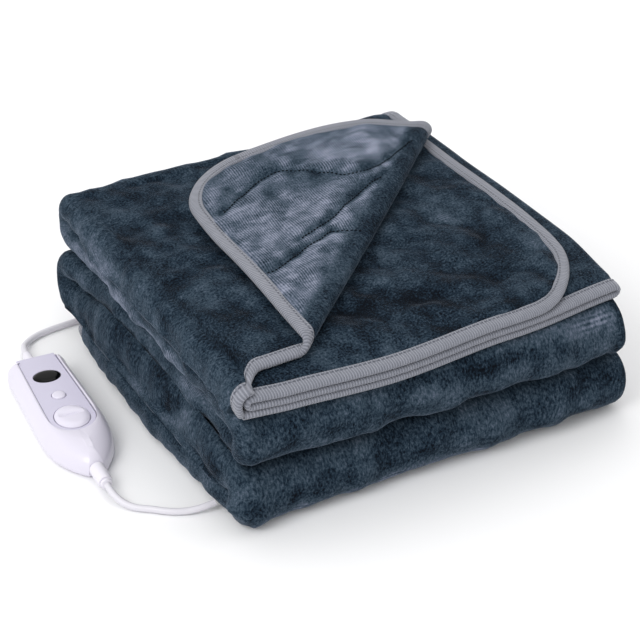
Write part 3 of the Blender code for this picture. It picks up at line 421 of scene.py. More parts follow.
# ---------------------------------------------------------------- controller
# A palm-sized glossy white shell lying on its back, its front panel let into a recess that is
# open at the flat end, with an oval black display, a small flush button and a large oval one
# with a thumb scoop.  A soft sleeve holds the cord at each end.

# Half widths along the housing, a row per place: share from the middle, half width
HOUSING_WIDTHS = np.array([
    (-1.000, 0.0062),
    (-0.960, 0.0092),
    (-0.900, 0.0126),
    (-0.800, 0.0172),
    (-0.680, 0.0212),
    (-0.520, 0.0243),
    (-0.340, 0.0256),
    (-0.100, 0.0254),
    (0.200, 0.0248),
    (0.500, 0.0241),
    (0.800, 0.0234),
    (0.950, 0.0230),
    (0.985, 0.0221),
    (1.000, 0.0200),
])

# Housing outlines: height, inset at the sides, flat end, round end
HOUSING_LEVELS = np.array([
    (0.0000, 0.0030, 0.0030, 0.0030),
    (0.0012, 0.0010, 0.0010, 0.0010),
    (0.0040, 0.0000, 0.0000, 0.0000),
    (0.0110, 0.0008, 0.0000, 0.0000),
    (0.0152, 0.0022, 0.0010, 0.0030),
    (0.0181, 0.0038, 0.0026, 0.0080),
    (0.0201, 0.0052, 0.0044, 0.0140),
    (0.0212, 0.0068, 0.0062, 0.0200),
])
HOUSING_STATIONS = 72
HOUSING_LEAST_HALF = 0.0022         # least half width of the housing's outlines
LEVEL_SPLIT = 3                     # steps from each outline to the next
RIM_STATIONS = 1800                 # places on the panel's outline to find the nearest among
RIM_DROP = 0.0002                   # the recess wall starts this far below the rim
RECESS_FLOOR = 0.0178
WELL_FLOOR = 0.0140                 # floor under the panel and its openings
PANEL_INSET = 0.0084                # the panel's sides in from the housing's
PANEL_GROOVE = 0.0006               # gap round the panel
PANEL_END = 0.0016                  # the panel's flat end in from the housing's
PANEL_STRAIGHT = 0.0100             # its sides run parallel for this far from there
PANEL_TOP = 0.0201
PANEL_EASE = 0.00035
PANEL_ROUND = 1.06                  # length of the panel's round end over its half width
PANEL_STATIONS = 60
BUTTON_PLAY = 0.0004
BUTTON_SKIRT = 0.0008               # the buttons' skirts reach this far below the recess floor
BUTTON_LIP = 0.0002                 # and stand straight to this height above the panel
OVAL_COLUMNS = 64
HEAD_COLUMNS = 6
HEAD_STEP = 0.0004                  # each ring above the recess floor starts this much further in

# Front of the controller, a row per piece: place along the axis, half width, half length
WINDOW_ROW = (0.0397, 0.0103, 0.0080)
SMALL_ROW = (0.0117, 0.0052, 0.0052)
LARGE_ROW = (-0.0190, 0.0130, 0.0150)


def eased(x, stations, values):
    """Value at x, eased from station to station: 3q^2 - 2q^3 of the way in each step."""
    stations = np.asarray(stations, float)
    values = np.asarray(values, float)
    x = np.clip(x, stations[0], stations[-1])
    step = np.clip(np.searchsorted(stations, x, side="right") - 1, 0, len(stations) - 2)
    share = (x - stations[step]) / (stations[step + 1] - stations[step])
    share = share * share * (3.0 - 2.0 * share)
    return values[step] + (values[step + 1] - values[step]) * share


def panel_half(along_axis):
    """Half width of the panel: the housing's less PANEL_INSET, straight near the flat end."""
    held = np.minimum(along_axis, CONTROL_HALF - PANEL_STRAIGHT)
    return np.interp(held, HOUSING_WIDTHS[:, 0] * CONTROL_HALF, HOUSING_WIDTHS[:, 1]) - PANEL_INSET


def panel_side(count, grow, end):
    """Right side of the panel's outline from the flat end to the round one: places along the
    axis and half widths; the round end, with a third of the places, is a half ellipse about
    the large button."""
    low = LARGE_ROW[0]
    straight = np.linspace(CONTROL_HALF - end, low, count - count // 3)
    half = panel_half(low) + grow
    angle = np.linspace(0.0, math.pi / 2, count // 3 + 1)[1:]
    along_axis = np.concatenate([straight, low - half * PANEL_ROUND * np.sin(angle)])
    return along_axis, np.concatenate([panel_half(straight) + grow, half * np.cos(angle)])


def housing_grid():
    """Rings of the shell from its foot up to the rim, then down the recess wall, whose points
    are those of the panel's outline nearest to the rim's.  A ring runs down the right side,
    round the round end, up the left side and across the flat end, where nothing rises above
    the recess floor."""
    tick = (1 - np.cos(np.linspace(0, math.pi, HOUSING_STATIONS))) / 2
    share = 1 - 2 * tick
    levels = np.arange(len(HOUSING_LEVELS), dtype=float)
    fine = np.linspace(0, levels[-1], (len(levels) - 1) * LEVEL_SPLIT + 1)
    outlines = through(fine, levels, HOUSING_LEVELS)
    rings = []
    for height, inset, head, tail in outlines:
        low, high = tail - CONTROL_HALF, CONTROL_HALF - head
        half = np.maximum(through(share, HOUSING_WIDTHS[:, 0], HOUSING_WIDTHS[:, 1]) - inset,
                          HOUSING_LEAST_HALF)
        rings.append((low + (share + 1) / 2 * (high - low), half, np.full(len(half), height)))
    there, half = panel_side(RIM_STATIONS, PANEL_GROOVE, HOUSING_LEVELS[-1, 2])
    off = np.hypot(there - rings[-1][0][:, None], half - rings[-1][1][:, None])
    near = np.concatenate([[0], np.argmin(off, axis=1)[1:]])
    for height in (HOUSING_LEVELS[-1, 0] - RIM_DROP, RECESS_FLOOR, WELL_FLOOR):
        rings.append((there[near], half[near], np.full(len(near), height)))
    points = []
    inner = panel_half(CONTROL_HALF) + PANEL_GROOVE
    for number, (there, half, height) in enumerate(rings):
        above = number - np.searchsorted(outlines[:, 0], RECESS_FLOOR)
        floor_height = min(height[0], RECESS_FLOOR)
        across = np.linspace(-inner, inner, HEAD_COLUMNS)
        if number == len(rings) - 1:
            floor_height = WELL_FLOOR
        edge = there[0] if above < 0 else rings[number - above][0][0] - above * HEAD_STEP
        points.append(np.concatenate([
            on_controller(there, half, height),
            on_controller(there[::-1], -half[::-1], height),
            on_controller(np.full(HEAD_COLUMNS, edge), across, floor_height),
        ]))
    return np.array(points)


def flat_piece(name, outline, holes, low, high, ease, surface):
    """Flat plate from a plan outline with holes, its top and bottom edges rounded by `ease`."""
    line = bpy.data.curves.new(name, "CURVE")
    line.dimensions = "2D"
    line.fill_mode = "BOTH"
    line.extrude = (high - low) / 2 - ease
    line.bevel_depth = ease
    line.bevel_resolution = 3
    line.offset = -ease
    for loop in [outline, *holes]:
        path = line.splines.new("POLY")
        path.points.add(len(loop) - 1)
        flat = np.zeros((len(loop), 4))
        flat[:, :2] = loop[:, :2]
        path.points.foreach_set("co", flat.ravel())
        path.use_cyclic_u = True
    draft = bpy.data.objects.new(name, line)
    bpy.context.scene.collection.objects.link(draft)
    shape = draft.evaluated_get(bpy.context.evaluated_depsgraph_get())
    mesh = bpy.data.meshes.new_from_object(shape)
    bpy.data.objects.remove(draft)
    points = np.zeros(len(mesh.vertices) * 3)
    mesh.vertices.foreach_get("co", points)
    points = points.reshape(-1, 3) + (0.0, 0.0, (low + high) / 2)
    return add_piece(name, points, [tuple(face.vertices) for face in mesh.polygons], surface,
                     "blanket", 30.0)


def oval(row, grow, height):
    """Closed oval round a piece's place on the controller: centre + (a cos q, b sin q)."""
    centre, wide, long = row
    angle = angles_round(OVAL_COLUMNS)
    return on_controller(centre + (long + grow) * np.sin(angle),
                         (wide + grow) * np.cos(angle), height)


def button_rings(row, profile):
    """Rings of a button from its skirt to its middle: oval growth and height for each row."""
    return np.array([oval(row, grow, height) for grow, height in profile])


# Glossy white plastics with a breath of lavender, the shell with a clear gleam along its
# edges; the display is one flat black oval that hardly mirrors anything
shell_plastic, _, _ = new_material("white_glossy_shell", "D5D1DE", 0.28, Coat_Weight=0.2)
panel_plastic, _, _ = new_material("lavender_white_panel", "C9C5D8", 0.32)
button_plastic, _, _ = new_material("white_button_plastic", "DAD6E4", 0.28)
window_plastic, _, _ = new_material("black_glossy_window", "050506", 0.10,
                                    Specular_IOR_Level=0.12)

housing = add_rings("controller_shell", housing_grid(), shell_plastic, "blanket", 34.0)
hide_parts("controller_housing")

there, half = panel_side(PANEL_STATIONS, 0.0, PANEL_END)
outline = np.concatenate([on_controller(there, half, 0.0)[:-1],
                          on_controller(there[::-1], -half[::-1], 0.0)])
openings = [oval(row, BUTTON_PLAY, 0.0) for row in (WINDOW_ROW, SMALL_ROW, LARGE_ROW)]
panel = flat_piece("controller_panel", outline, openings, RECESS_FLOOR + PIECE_GAP, PANEL_TOP,
                   PANEL_EASE, panel_plastic)
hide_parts("front_panel")

# Window and small button, a row per ring: growth of the oval, height
WINDOW_PROFILE = [(-0.0002, RECESS_FLOOR), (0.0, PANEL_TOP - 0.0003), (-0.0002, PANEL_TOP),
                  (-0.0010, PANEL_TOP + 0.0004), (-0.0025, PANEL_TOP + 0.0006),
                  (-0.0050, PANEL_TOP + 0.0007), (-0.0074, PANEL_TOP + 0.0007)]
SMALL_PROFILE = [(-0.0002, RECESS_FLOOR - BUTTON_SKIRT), (0.0, PANEL_TOP + BUTTON_LIP),
                 (-0.0003, PANEL_TOP + 0.0006), (-0.0010, PANEL_TOP + 0.0009),
                 (-0.0024, PANEL_TOP + 0.0011), (-0.0048, PANEL_TOP + 0.0012)]

# Large button: ring sizes over its outline, skirt first, then inward to the middle
LARGE_SHARES = np.concatenate([[0.985, 1.0, 0.998], np.linspace(0.985, 0.02, 46)])
LARGE_COLUMNS = 120
LARGE_RISE = 0.0022
LARGE_POWER = 6                     # how flat the dome's middle is
DISH_EDGE = (-0.0012, 14.0)         # place of the scoop's sharp edge and how it bends, 1/metre
DISH_DROP = 0.0007                  # length over which the sharp edge falls
DISH_DEEP = 0.0019
DISH_LONG = 0.0095
DISH_HALF_WIDE = 0.0098
RIB_PITCH = 0.0013
RIB_HIGH = 0.00032
RIB_REACH = (0.0006, 0.0012, 0.0040, 0.0050)    # the ribs rise, stay and fade past the edge


def large_button_rings():
    """Low dome, height LARGE_RISE x (1 - share^LARGE_POWER), less a thumb scoop: a sharp
    bowed edge across the middle, deep beside it and running out to nothing towards the flat
    end, with fine ribs, RIB_HIGH x cos(2 pi wide / RIB_PITCH)."""
    share = LARGE_SHARES[:, None]
    angle = angles_round(LARGE_COLUMNS)[None, :]
    long = share * LARGE_ROW[2] * np.sin(angle)
    wide = share * LARGE_ROW[1] * np.cos(angle)
    rise = LARGE_RISE * (1 - share ** LARGE_POWER)
    past = long - (DISH_EDGE[0] + DISH_EDGE[1] * wide * wide)
    narrow = np.clip(1 - (wide / DISH_HALF_WIDE) ** 2, 0, 1)
    dish = eased(past, (0.0, DISH_DROP, DISH_LONG), (0, 1, 0)) * narrow
    ribs = eased(past, RIB_REACH, (0, 1, 1, 0)) * narrow
    rise = rise - DISH_DEEP * dish + RIB_HIGH * ribs * np.cos(2 * math.pi * wide / RIB_PITCH)
    height = PANEL_TOP + rise
    height[0] = RECESS_FLOOR - BUTTON_SKIRT
    height[1] = PANEL_TOP + BUTTON_LIP
    return on_controller(LARGE_ROW[0] + long, wide, height)


window = add_rings("display_oval", button_rings(WINDOW_ROW, WINDOW_PROFILE), window_plastic,
                   "blanket", 50.0)
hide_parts("display_window")
small = add_rings("round_button", button_rings(SMALL_ROW, SMALL_PROFILE), button_plastic,
                  "small_button", 50.0)
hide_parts("small_button")
large = add_rings("thumb_button", large_button_rings(), button_plastic, "large_button", 50.0)
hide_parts("large_button")

# Sleeve profiles, a row per ring: distance from the housing, radius
HEAD_SLEEVE = [(0.0, 0.0046), (0.0004, 0.0050), (0.0028, 0.0049), (0.0034, 0.0045),
               (0.0080, 0.0041), (0.0150, 0.0036), (0.0212, 0.0033), (0.0221, 0.0031),
               (0.0225, 0.0026)]
TAIL_SLEEVE = [(0.0, 0.0054), (0.0004, 0.0058), (0.0100, 0.0056), (0.0170, 0.0053),
               (0.0182, 0.0049), (0.0184, 0.0036), (0.0192, 0.0036), (0.0194, 0.0042),
               (0.0210, 0.0041), (0.0215, 0.0027)]
for name, node_name, start, way, profile in (
        ("head_sleeve", "mains_sleeve", HEAD_START, FORWARD, HEAD_SLEEVE),
        ("tail_sleeve", "lead_sleeve", TAIL_START, -FORWARD, TAIL_SLEEVE)):
    sleeve = add_rings(name, turned_rings(start, way, profile), sleeve_rubber, "blanket", 30.0)
    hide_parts(node_name)

# ---------------------------------------------------------------- blanket cloth
# One double layer of slate-blue plush, five millimetres thick, folded in four across and then back
# and forth into five, with the top corner turned back over a soft roll.  Its pile's sheen and
# shade are painted into its colour: dark where it points at the eye, pale where it is brushed
# away, paler on slopes and patches that catch the light and darker in the quilting troughs.

CLOTH_THICK = 0.005
LAYER_PITCH = 0.006                 # from the middle of one layer to that of the next
OUTER_TURN = 1.5 * LAYER_PITCH      # radius of a half turn round another one
INNER_TURN = 0.5 * LAYER_PITCH      # of a half turn between neighbouring layers
STRIP_TURN = 2.0 * LAYER_PITCH      # and of the whole strip of four layers
SECTIONS = 5

# Axes of the half turns, and the free edges where they don't drift
LEFT_AXIS_U = 0.009
RIGHT_AXIS_U = 0.318
TOP_EDGE_U = 0.325
LOWER_EDGE_U = 0.312
FOLD_AXES_V = (-0.018, 0.296, 0.004, 0.294, 0.007, 0.280)

BINDING_WIDE = 0.012
CORNER_ROUND = 0.065                # radius of the flat sheet's corners
FLAP_OFFSET = 0.044                 # fold line of the turned-back corner: v = u - FLAP_OFFSET
ROOT2 = math.sqrt(2.0)

# Free edges across the stack: share of the cloth's length, top edge u, second layer's edge u
EDGE_DRIFT = np.array([
    (0.000, 0.322, 0.301),
    (0.090, 0.332, 0.308),
    (0.195, 0.306, 0.308),
    (0.400, 0.316, 0.314),
    (0.600, 0.314, 0.314),
    (0.790, 0.328, 0.326),
    (1.000, 0.316, 0.314),
])

# Near hem of the uppermost section across the stack: of its top layer, then of those under it
HEM_TOP_U = (0.000, 0.026, 0.060, 0.200, 0.330)
HEM_TOP_V = (-0.014, 0.006, 0.008, 0.012, 0.018)
HEM_UNDER_U = (0.000, 0.040, 0.110, 0.210, 0.330)
HEM_UNDER_V = (-0.014, -0.017, -0.020, -0.012, -0.004)

# Roll of the turned-back corner: places along its fold line, radius and lift of the flap there
ROLL_AT = (0.040, 0.150, 0.235, 0.330, 0.380, 0.410)
ROLL_RADIUS = (0.0040, 0.0040, 0.0045, 0.0055, 0.0065, 0.0075)
FLAP_LIFT = (0.000, 0.002, 0.003, 0.006, 0.006, 0.004)

# Leans of the sides, a row per section from the lowest: height, shift at each station
SIDE_STATIONS = (0.000, 0.080, 0.160, 0.230, 0.300)
LEFT_LEAN = [
    (0.0115, -0.001, -0.006, -0.010, -0.008, -0.002),
    (0.0355, -0.001, -0.001, -0.002, -0.004, -0.007),
    (0.0595, 0.001, 0.003, 0.002, -0.001, -0.005),
    (0.0835, 0.001, 0.000, 0.000, 0.000, -0.002),
    (0.1075, 0.000, -0.001, -0.001, -0.001, -0.003),
]
RIGHT_LEAN = [
    (0.0115, -0.006, -0.001, -0.002, -0.005, -0.007),
    (0.0355, -0.005, -0.001, -0.002, -0.005, -0.007),
    (0.0595, -0.012, -0.005, -0.003, -0.005, -0.007),
    (0.0835, -0.014, -0.006, -0.004, -0.005, -0.007),
    (0.1075, -0.010, -0.003, -0.003, -0.005, -0.007),
]
FRONT_STATIONS = (0.000, 0.080, 0.160, 0.240, 0.325)
FRONT_LEAN = [
    (0.0115, -0.006, -0.003, -0.002, -0.003, 0.002),
    (0.0355, -0.004, -0.002, -0.002, -0.003, 0.002),
    (0.0595, 0.001, -0.002, -0.002, -0.001, 0.001),
    (0.0835, 0.001, -0.002, -0.002, -0.001, 0.001),
    (0.1075, 0.000, -0.001, -0.001, 0.000, 0.002),
]
BACK_LEAN = (-0.010, -0.008, -0.005, -0.001, 0.000)

# Seams of the left side pressed shut, a row each: height, push beside it at each station
PRESS_STATIONS = (0.000, 0.050, 0.090, 0.140, 0.240, 0.290)
LEFT_PRESS = [
    (0.096, 0.0050, 0.0060, 0.0060, 0.0060, 0.0050, 0.0010),
    (0.024, 0.0040, 0.0040, 0.0055, 0.0060, 0.0055, 0.0020),
]
PRESS_REACH = 0.050                 # how far in from its side a push is felt
LEAN_REACH = 0.120                  # and a lean
BACK_FACE_V = 0.300
CREASE_EASE = 0.008                 # half the height over which one section's lean meets the next
STACK_HIGH = SECTIONS * 4 * LAYER_PITCH
TOP_SWELL = 0.0016
SWELL_WAVES = (21.0, 0.6, 19.0, 0.4)        # waves of the top: rate and start along u and v
SWELL_MOST = 1.1                    # it grows with the height squared, to this share of the stack
HEM_DROOP = 0.004
HEM_DROOP_V = (-0.022, 0.018)
HEM_DROOP_Z = (0.088, 0.102)
FLAP_LIFT_OVER = 0.045
NORMAL_STEP = 2e-5

ACROSS_RUNS = [TOP_EDGE_U - LEFT_AXIS_U, math.pi * OUTER_TURN, RIGHT_AXIS_U - LEFT_AXIS_U,
               math.pi * INNER_TURN, RIGHT_AXIS_U - LEFT_AXIS_U, math.pi * INNER_TURN,
               LOWER_EDGE_U - LEFT_AXIS_U]
ACROSS_AT = np.concatenate([[0.0], np.cumsum(ACROSS_RUNS)])
CLOTH_WIDE = float(ACROSS_AT[-1])
ALONG_RUNS = []
for first, second in zip(FOLD_AXES_V[:-1], FOLD_AXES_V[1:]):
    ALONG_RUNS += [abs(second - first), math.pi * STRIP_TURN]
ALONG_RUNS.pop()
ALONG_AT = np.concatenate([[0.0], np.cumsum(ALONG_RUNS)])
CLOTH_LONG = float(ALONG_AT[-1])


def section_level(number):
    """Height of the middle of a section, counted from the top: four pitches for each below."""
    return CLOTH_THICK / 2 + OUTER_TURN + 4 * LAYER_PITCH * (SECTIONS - 1 - number)


def run_of(x, starts):
    """Number of the run that holds each x."""
    return np.clip(np.searchsorted(starts, x, side="right") - 1, 0, len(starts) - 2)


def across(s, t):
    """Place u and lift in the strip for s: four flat layers, at each end of them a half turn
    u = axis - r sin(q/r), lift = r cos(q/r), the outer one round the inner one."""
    run = run_of(s, ACROSS_AT)
    q = s - ACROSS_AT[run]
    share = t / CLOTH_LONG
    top_edge = eased(share, EDGE_DRIFT[:, 0], EDGE_DRIFT[:, 1])
    low_edge = eased(share, EDGE_DRIFT[:, 0], EDGE_DRIFT[:, 2])
    outer, inner = q / OUTER_TURN, q / INNER_TURN
    top_u = LEFT_AXIS_U + (ACROSS_RUNS[0] - q) * (top_edge - LEFT_AXIS_U) / ACROSS_RUNS[0]
    low_u = LEFT_AXIS_U + q * (low_edge - LEFT_AXIS_U) / ACROSS_RUNS[6]
    ones = np.ones_like(q)
    u = np.choose(run, [top_u, LEFT_AXIS_U - OUTER_TURN * np.sin(outer), LEFT_AXIS_U + q,
                        RIGHT_AXIS_U + INNER_TURN * np.sin(inner), RIGHT_AXIS_U - q,
                        LEFT_AXIS_U - INNER_TURN * np.sin(inner), low_u])
    lift = np.choose(run, [OUTER_TURN * ones, OUTER_TURN * np.cos(outer), -OUTER_TURN * ones,
                           -OUTER_TURN + INNER_TURN * (1.0 - np.cos(inner)),
                           -INNER_TURN * ones, -INNER_TURN * np.cos(inner),
                           INNER_TURN * ones])
    return u, lift, run


def along(t, u, across_run):
    """Middle of the strip in the v-z plane and its normal: flat sections joined by half turns
    v = axis + r sin(q/r), z = middle + r cos(q/r), to the back and to the front in turn."""
    run = run_of(t, ALONG_AT)
    q = t - ALONG_AT[run]
    v, z, normal_v, normal_z = (np.zeros_like(t) for _ in range(4))
    for number in range(SECTIONS):
        flat = run == 2 * number
        start, stop = FOLD_AXES_V[number], FOLD_AXES_V[number + 1]
        place = start + np.sign(stop - start) * q
        if number == 0:
            hem = np.where(across_run == 0, eased(u, HEM_TOP_U, HEM_TOP_V),
                           eased(u, HEM_UNDER_U, HEM_UNDER_V))
            place = stop - (ALONG_RUNS[0] - q) * (stop - hem) / ALONG_RUNS[0]
        facing = 1.0 if number % 2 == 0 else -1.0
        v = np.where(flat, place, v)
        z = np.where(flat, section_level(number), z)
        normal_z = np.where(flat, facing, normal_z)
        if number == SECTIONS - 1:
            continue
        turn = run == 2 * number + 1
        angle = q / STRIP_TURN
        middle = (section_level(number) + section_level(number + 1)) / 2
        v = np.where(turn, stop + facing * STRIP_TURN * np.sin(angle), v)
        z = np.where(turn, middle + STRIP_TURN * np.cos(angle), z)
        normal_v = np.where(turn, np.sin(angle), normal_v)
        normal_z = np.where(turn, facing * np.cos(angle), normal_z)
    return v, z, normal_v, normal_z, run


def turn_back(u, v, z, loose):
    """Curl the loose corner over its fold line: half a roll of radius r, then flat face up."""
    beyond = (u - v - FLAP_OFFSET) / ROOT2
    line = (u + v) / ROOT2
    radius = eased(line, ROLL_AT, ROLL_RADIUS)
    arc = math.pi * radius
    angle = np.clip(beyond, 0.0, arc) / radius
    past = np.maximum(beyond - arc, 0.0)
    out = radius * np.sin(angle) - past
    rise = radius * (1.0 - np.cos(angle))
    rise = rise + eased(line, ROLL_AT, FLAP_LIFT) * eased(past, (0.0, FLAP_LIFT_OVER), (0, 1))
    turned = loose & (beyond > 0.0)
    new_u = (ROOT2 * line + ROOT2 * out + FLAP_OFFSET) / 2
    new_v = (ROOT2 * line - ROOT2 * out - FLAP_OFFSET) / 2
    return np.where(turned, new_u, u), np.where(turned, new_v, v), np.where(turned, z + rise, z)


def lean(table, stations, place, height):
    """Shift from a lean table, eased along the side and from each section to the next."""
    rows = [eased(place, stations, row[1:]) for row in table]
    total = rows[0]
    for low in range(len(table) - 1):
        middle = (table[low][0] + table[low + 1][0]) / 2
        change = eased(height, (middle - CREASE_EASE, middle + CREASE_EASE), (0.0, 1.0))
        total = total + (rows[low + 1] - rows[low]) * change
    return total


def beside_seam(height, seam):
    """How much a seam is felt at a height: 1 - sqrt(1 - near^2), full at the seam."""
    away = (np.abs(height - seam) - LAYER_PITCH / 2) / OUTER_TURN
    near = 1.0 - np.clip(away, 0.0, 1.0)
    return 1.0 - np.sqrt(1.0 - near * near)


def press(place, height):
    """Outward push beside the pressed seams: each one's push where it is felt."""
    return sum(eased(place, PRESS_STATIONS, push) * beside_seam(height, seam)
               for seam, *push in LEFT_PRESS)


def settle(u, v, z):
    """Lean, bow and swell of the whole stack, one direction after another."""
    left = eased(u, (0.0, LEAN_REACH), (1.0, 0.0))
    right = eased(u, (RIGHT_AXIS_U - LEAN_REACH, RIGHT_AXIS_U), (0.0, 1.0))
    near = eased(u, (0.0, PRESS_REACH), (1.0, 0.0))
    u = u + left * lean(LEFT_LEAN, SIDE_STATIONS, v, z) - near * press(v, z)
    u = u + right * lean(RIGHT_LEAN, SIDE_STATIONS, v, z)
    front = eased(v, (0.0, LEAN_REACH), (1.0, 0.0))
    v = v + front * lean(FRONT_LEAN, FRONT_STATIONS, u, z)
    back = eased(v, (BACK_FACE_V - LEAN_REACH, BACK_FACE_V), (0.0, 1.0))
    v = v + back * eased(u, FRONT_STATIONS, BACK_LEAN)
    share = np.clip(z / STACK_HIGH, 0.0, SWELL_MOST)
    u_rate, u_start, v_rate, v_start = SWELL_WAVES
    wave = np.sin(u * u_rate + u_start) * np.sin(v * v_rate + v_start)
    z = z + TOP_SWELL * share * share * wave
    droop = eased(v, HEM_DROOP_V, (1.0, 0.0)) * eased(z, HEM_DROOP_Z, (0.0, 1.0))
    return u, v, z - HEM_DROOP * droop


def fold(s, t):
    """Middle of the cloth in the plan for flat coordinates: across, along, turned back."""
    u, lift, across_run = across(s, t)
    v, z, normal_v, normal_z, along_run = along(t, u, across_run)
    loose = (across_run == 0) & (along_run == 0)
    u, v, z = turn_back(u, v + lift * normal_v, z + lift * normal_z, loose)
    return np.stack(settle(u, v, z), axis=-1)


def fold_normal(s, t):
    """Outward normal of the folded cloth: cross product of its two small steps."""
    normal = np.cross(fold(s, t + NORMAL_STEP) - fold(s, t - NORMAL_STEP),
                      fold(s + NORMAL_STEP, t) - fold(s - NORMAL_STEP, t))
    return normal / np.linalg.norm(normal, axis=-1, keepdims=True)


# Stitched quilting lines of the turned-back corner in flat cloth coordinates
QUILT_LINES = [
    [(0.0763, 0.0217), (0.0624, 0.0443), (0.0475, 0.0728), (0.0466, 0.0906), (0.0555, 0.1063),
     (0.0703, 0.1280), (0.0783, 0.1378), (0.0783, 0.1565), (0.0664, 0.1821), (0.0515, 0.2047),
     (0.0347, 0.2264)],
    [(0.1704, 0.0049), (0.1714, 0.0217), (0.1644, 0.0384), (0.1535, 0.0581), (0.1476, 0.0748),
     (0.1407, 0.0906), (0.1456, 0.1043), (0.1555, 0.1132)],
    [(0.1417, 0.0600), (0.1327, 0.0837), (0.1218, 0.1083), (0.1080, 0.1309), (0.0931, 0.1555),
     (0.0862, 0.1713)],
]
QUILT_DEEP = 0.0013                 # the quilting troughs, and the puffs between them
QUILT_HALF_WIDE = 0.0045
PUFF_HIGH = 0.0008

# Soft creases and ridges: face, half width, height (troughs below zero), places on the face: u, v
# on the top and the second layer, v, z on the left, u, z on the front
CREASES = [
    ("left", 0.0050, -0.0030, [(0.105, 0.033), (0.078, 0.043), (0.0525, 0.053), (0.033, 0.056)]),
    ("left", 0.0040, -0.0016, [(0.058, 0.030), (0.030, 0.027), (-0.003, 0.0246)]),
    ("left", 0.0060, -0.0022, [(0.268, 0.092), (0.230, 0.088), (0.190, 0.090)]),
    ("left", 0.0070, 0.0014, [(0.250, 0.104), (0.190, 0.100), (0.120, 0.103), (0.060, 0.098)]),
    ("left", 0.0060, -0.0020, [(0.150, 0.082), (0.120, 0.088), (0.080, 0.093)]),
    ("left", 0.0060, 0.0015, [(0.190, 0.048), (0.130, 0.050), (0.080, 0.062)]),
    ("left", 0.0050, -0.0018, [(0.230, 0.022), (0.190, 0.030), (0.150, 0.031)]),
    ("front", 0.0080, -0.0016, [(0.020, 0.060), (0.080, 0.068), (0.140, 0.064)]),
    ("front", 0.0080, -0.0014, [(0.120, 0.082), (0.190, 0.076), (0.250, 0.080)]),
    ("front", 0.0070, -0.0015, [(0.170, 0.030), (0.230, 0.026), (0.300, 0.031)]),
    ("front", 0.0080, -0.0012, [(0.040, 0.020), (0.100, 0.024), (0.150, 0.019)]),
    ("top", 0.0090, -0.0016, [(-0.005, 0.235), (0.040, 0.200), (0.080, 0.190)]),
    ("top", 0.0090, -0.0014, [(0.020, 0.130), (0.060, 0.150), (0.095, 0.140)]),
    ("top", 0.0100, 0.0012, [(0.010, 0.180), (0.060, 0.230), (0.120, 0.245)]),
    ("top", 0.0080, -0.0012, [(0.090, 0.270), (0.150, 0.250), (0.200, 0.262)]),
    ("second", 0.0050, -0.0012, [(0.283, 0.144), (0.267, 0.113), (0.245, 0.076)]),
    ("second", 0.0050, -0.0012, [(0.182, 0.127), (0.161, 0.088)]),
    ("second", 0.0070, 0.0014, [(0.243, 0.138), (0.214, 0.148), (0.236, 0.149)]),
    ("second", 0.0080, -0.0016, [(0.230, 0.150), (0.250, 0.120), (0.262, 0.080), (0.259, 0.040)]),
    ("second", 0.0070, 0.0013, [(0.290, 0.085), (0.277, 0.039)]),
    ("second", 0.0090, -0.0018, [(0.110, 0.050), (0.160, 0.042), (0.210, 0.030)]),
]

# Sets of waves, a row each: wavelength and height; a wave's own length varies by WAVE_SCALES
RIPPLES = [
    (0.062, 0.0007),
    (0.034, 0.0005),
    (0.019, 0.0003),
]
WAVE_COUNT = 7
WAVE_SCALES = (0.75, 1.35)
FACE_WAVES = {"flap": 1.0, "top": 1.3, "second": 1.1, "left": 1.2, "front": 1.2, "back": 1.0}
RELIEF_LOW, RELIEF_HIGH = -0.0028, 0.0028
FACING_FROM = 0.1                   # a side is seen from this much of the normal towards it,
FACING_OVER = 0.5                   # and fully after this much more
SIDE_DEEP = 0.030                   # points of the left or the front side lie within this of it
BACK_FROM_V = 0.270
FACE_EASE = 0.012                   # relief of the flap and the top grows over this from the roll
SECOND_EASE = (-0.006, 0.010)       # and that of the second layer between these
THICK_SHARE = 0.60                  # thickness in the binding over that of the open cloth
THICK_REACH = 0.0070
CLOTH_INSET = BINDING_WIDE - 0.0015
SEAM_FILL = 0.0108                  # how far the pressed seams' grooves are filled outward
UPPER_FILL_V = (0.225, 0.262)       # the upper seam opens again towards the back
LOWER_FILL_V = (-0.004, 0.030)      # and the lower one at the front corner
TURN_LIMIT = 1.001                  # heights in a half turn over its radius, with a hair to spare

# Left side of single sections: section from the top, rise of its upper half, its squareness
# there, outward shift, and the stretch of v over which it comes and goes
LEFT_SHAPES = [
    (2, 0.0000, 1.0, 0.0022, (-0.010, 0.020, 0.250, 0.285), (0.0, 1.0, 1.0, 0.0)),
    (3, 0.0125, 0.4, -0.0026, (-0.015, 0.050, 0.215, 0.262), (0.35, 1.0, 1.0, 0.0)),
]


def near_lines(x, y, lines):
    """Distance from each (x, y) to the nearest of some bent lines."""
    found = np.full(x.shape, 1.0)
    for line in lines:
        for (x0, y0), (x1, y1) in zip(line[:-1], line[1:]):
            squared = (x1 - x0) ** 2 + (y1 - y0) ** 2
            share = np.clip(((x - x0) * (x1 - x0) + (y - y0) * (y1 - y0)) / squared, 0, 1)
            found = np.minimum(found, np.hypot(x - x0 - share * (x1 - x0),
                                               y - y0 - share * (y1 - y0)))
    return found


def beside_lines(x, y, lines, half):
    """exp(-(distance / half width)^2) beside some bent lines, full on them."""
    return np.exp(-(near_lines(x, y, lines) / half) ** 2)


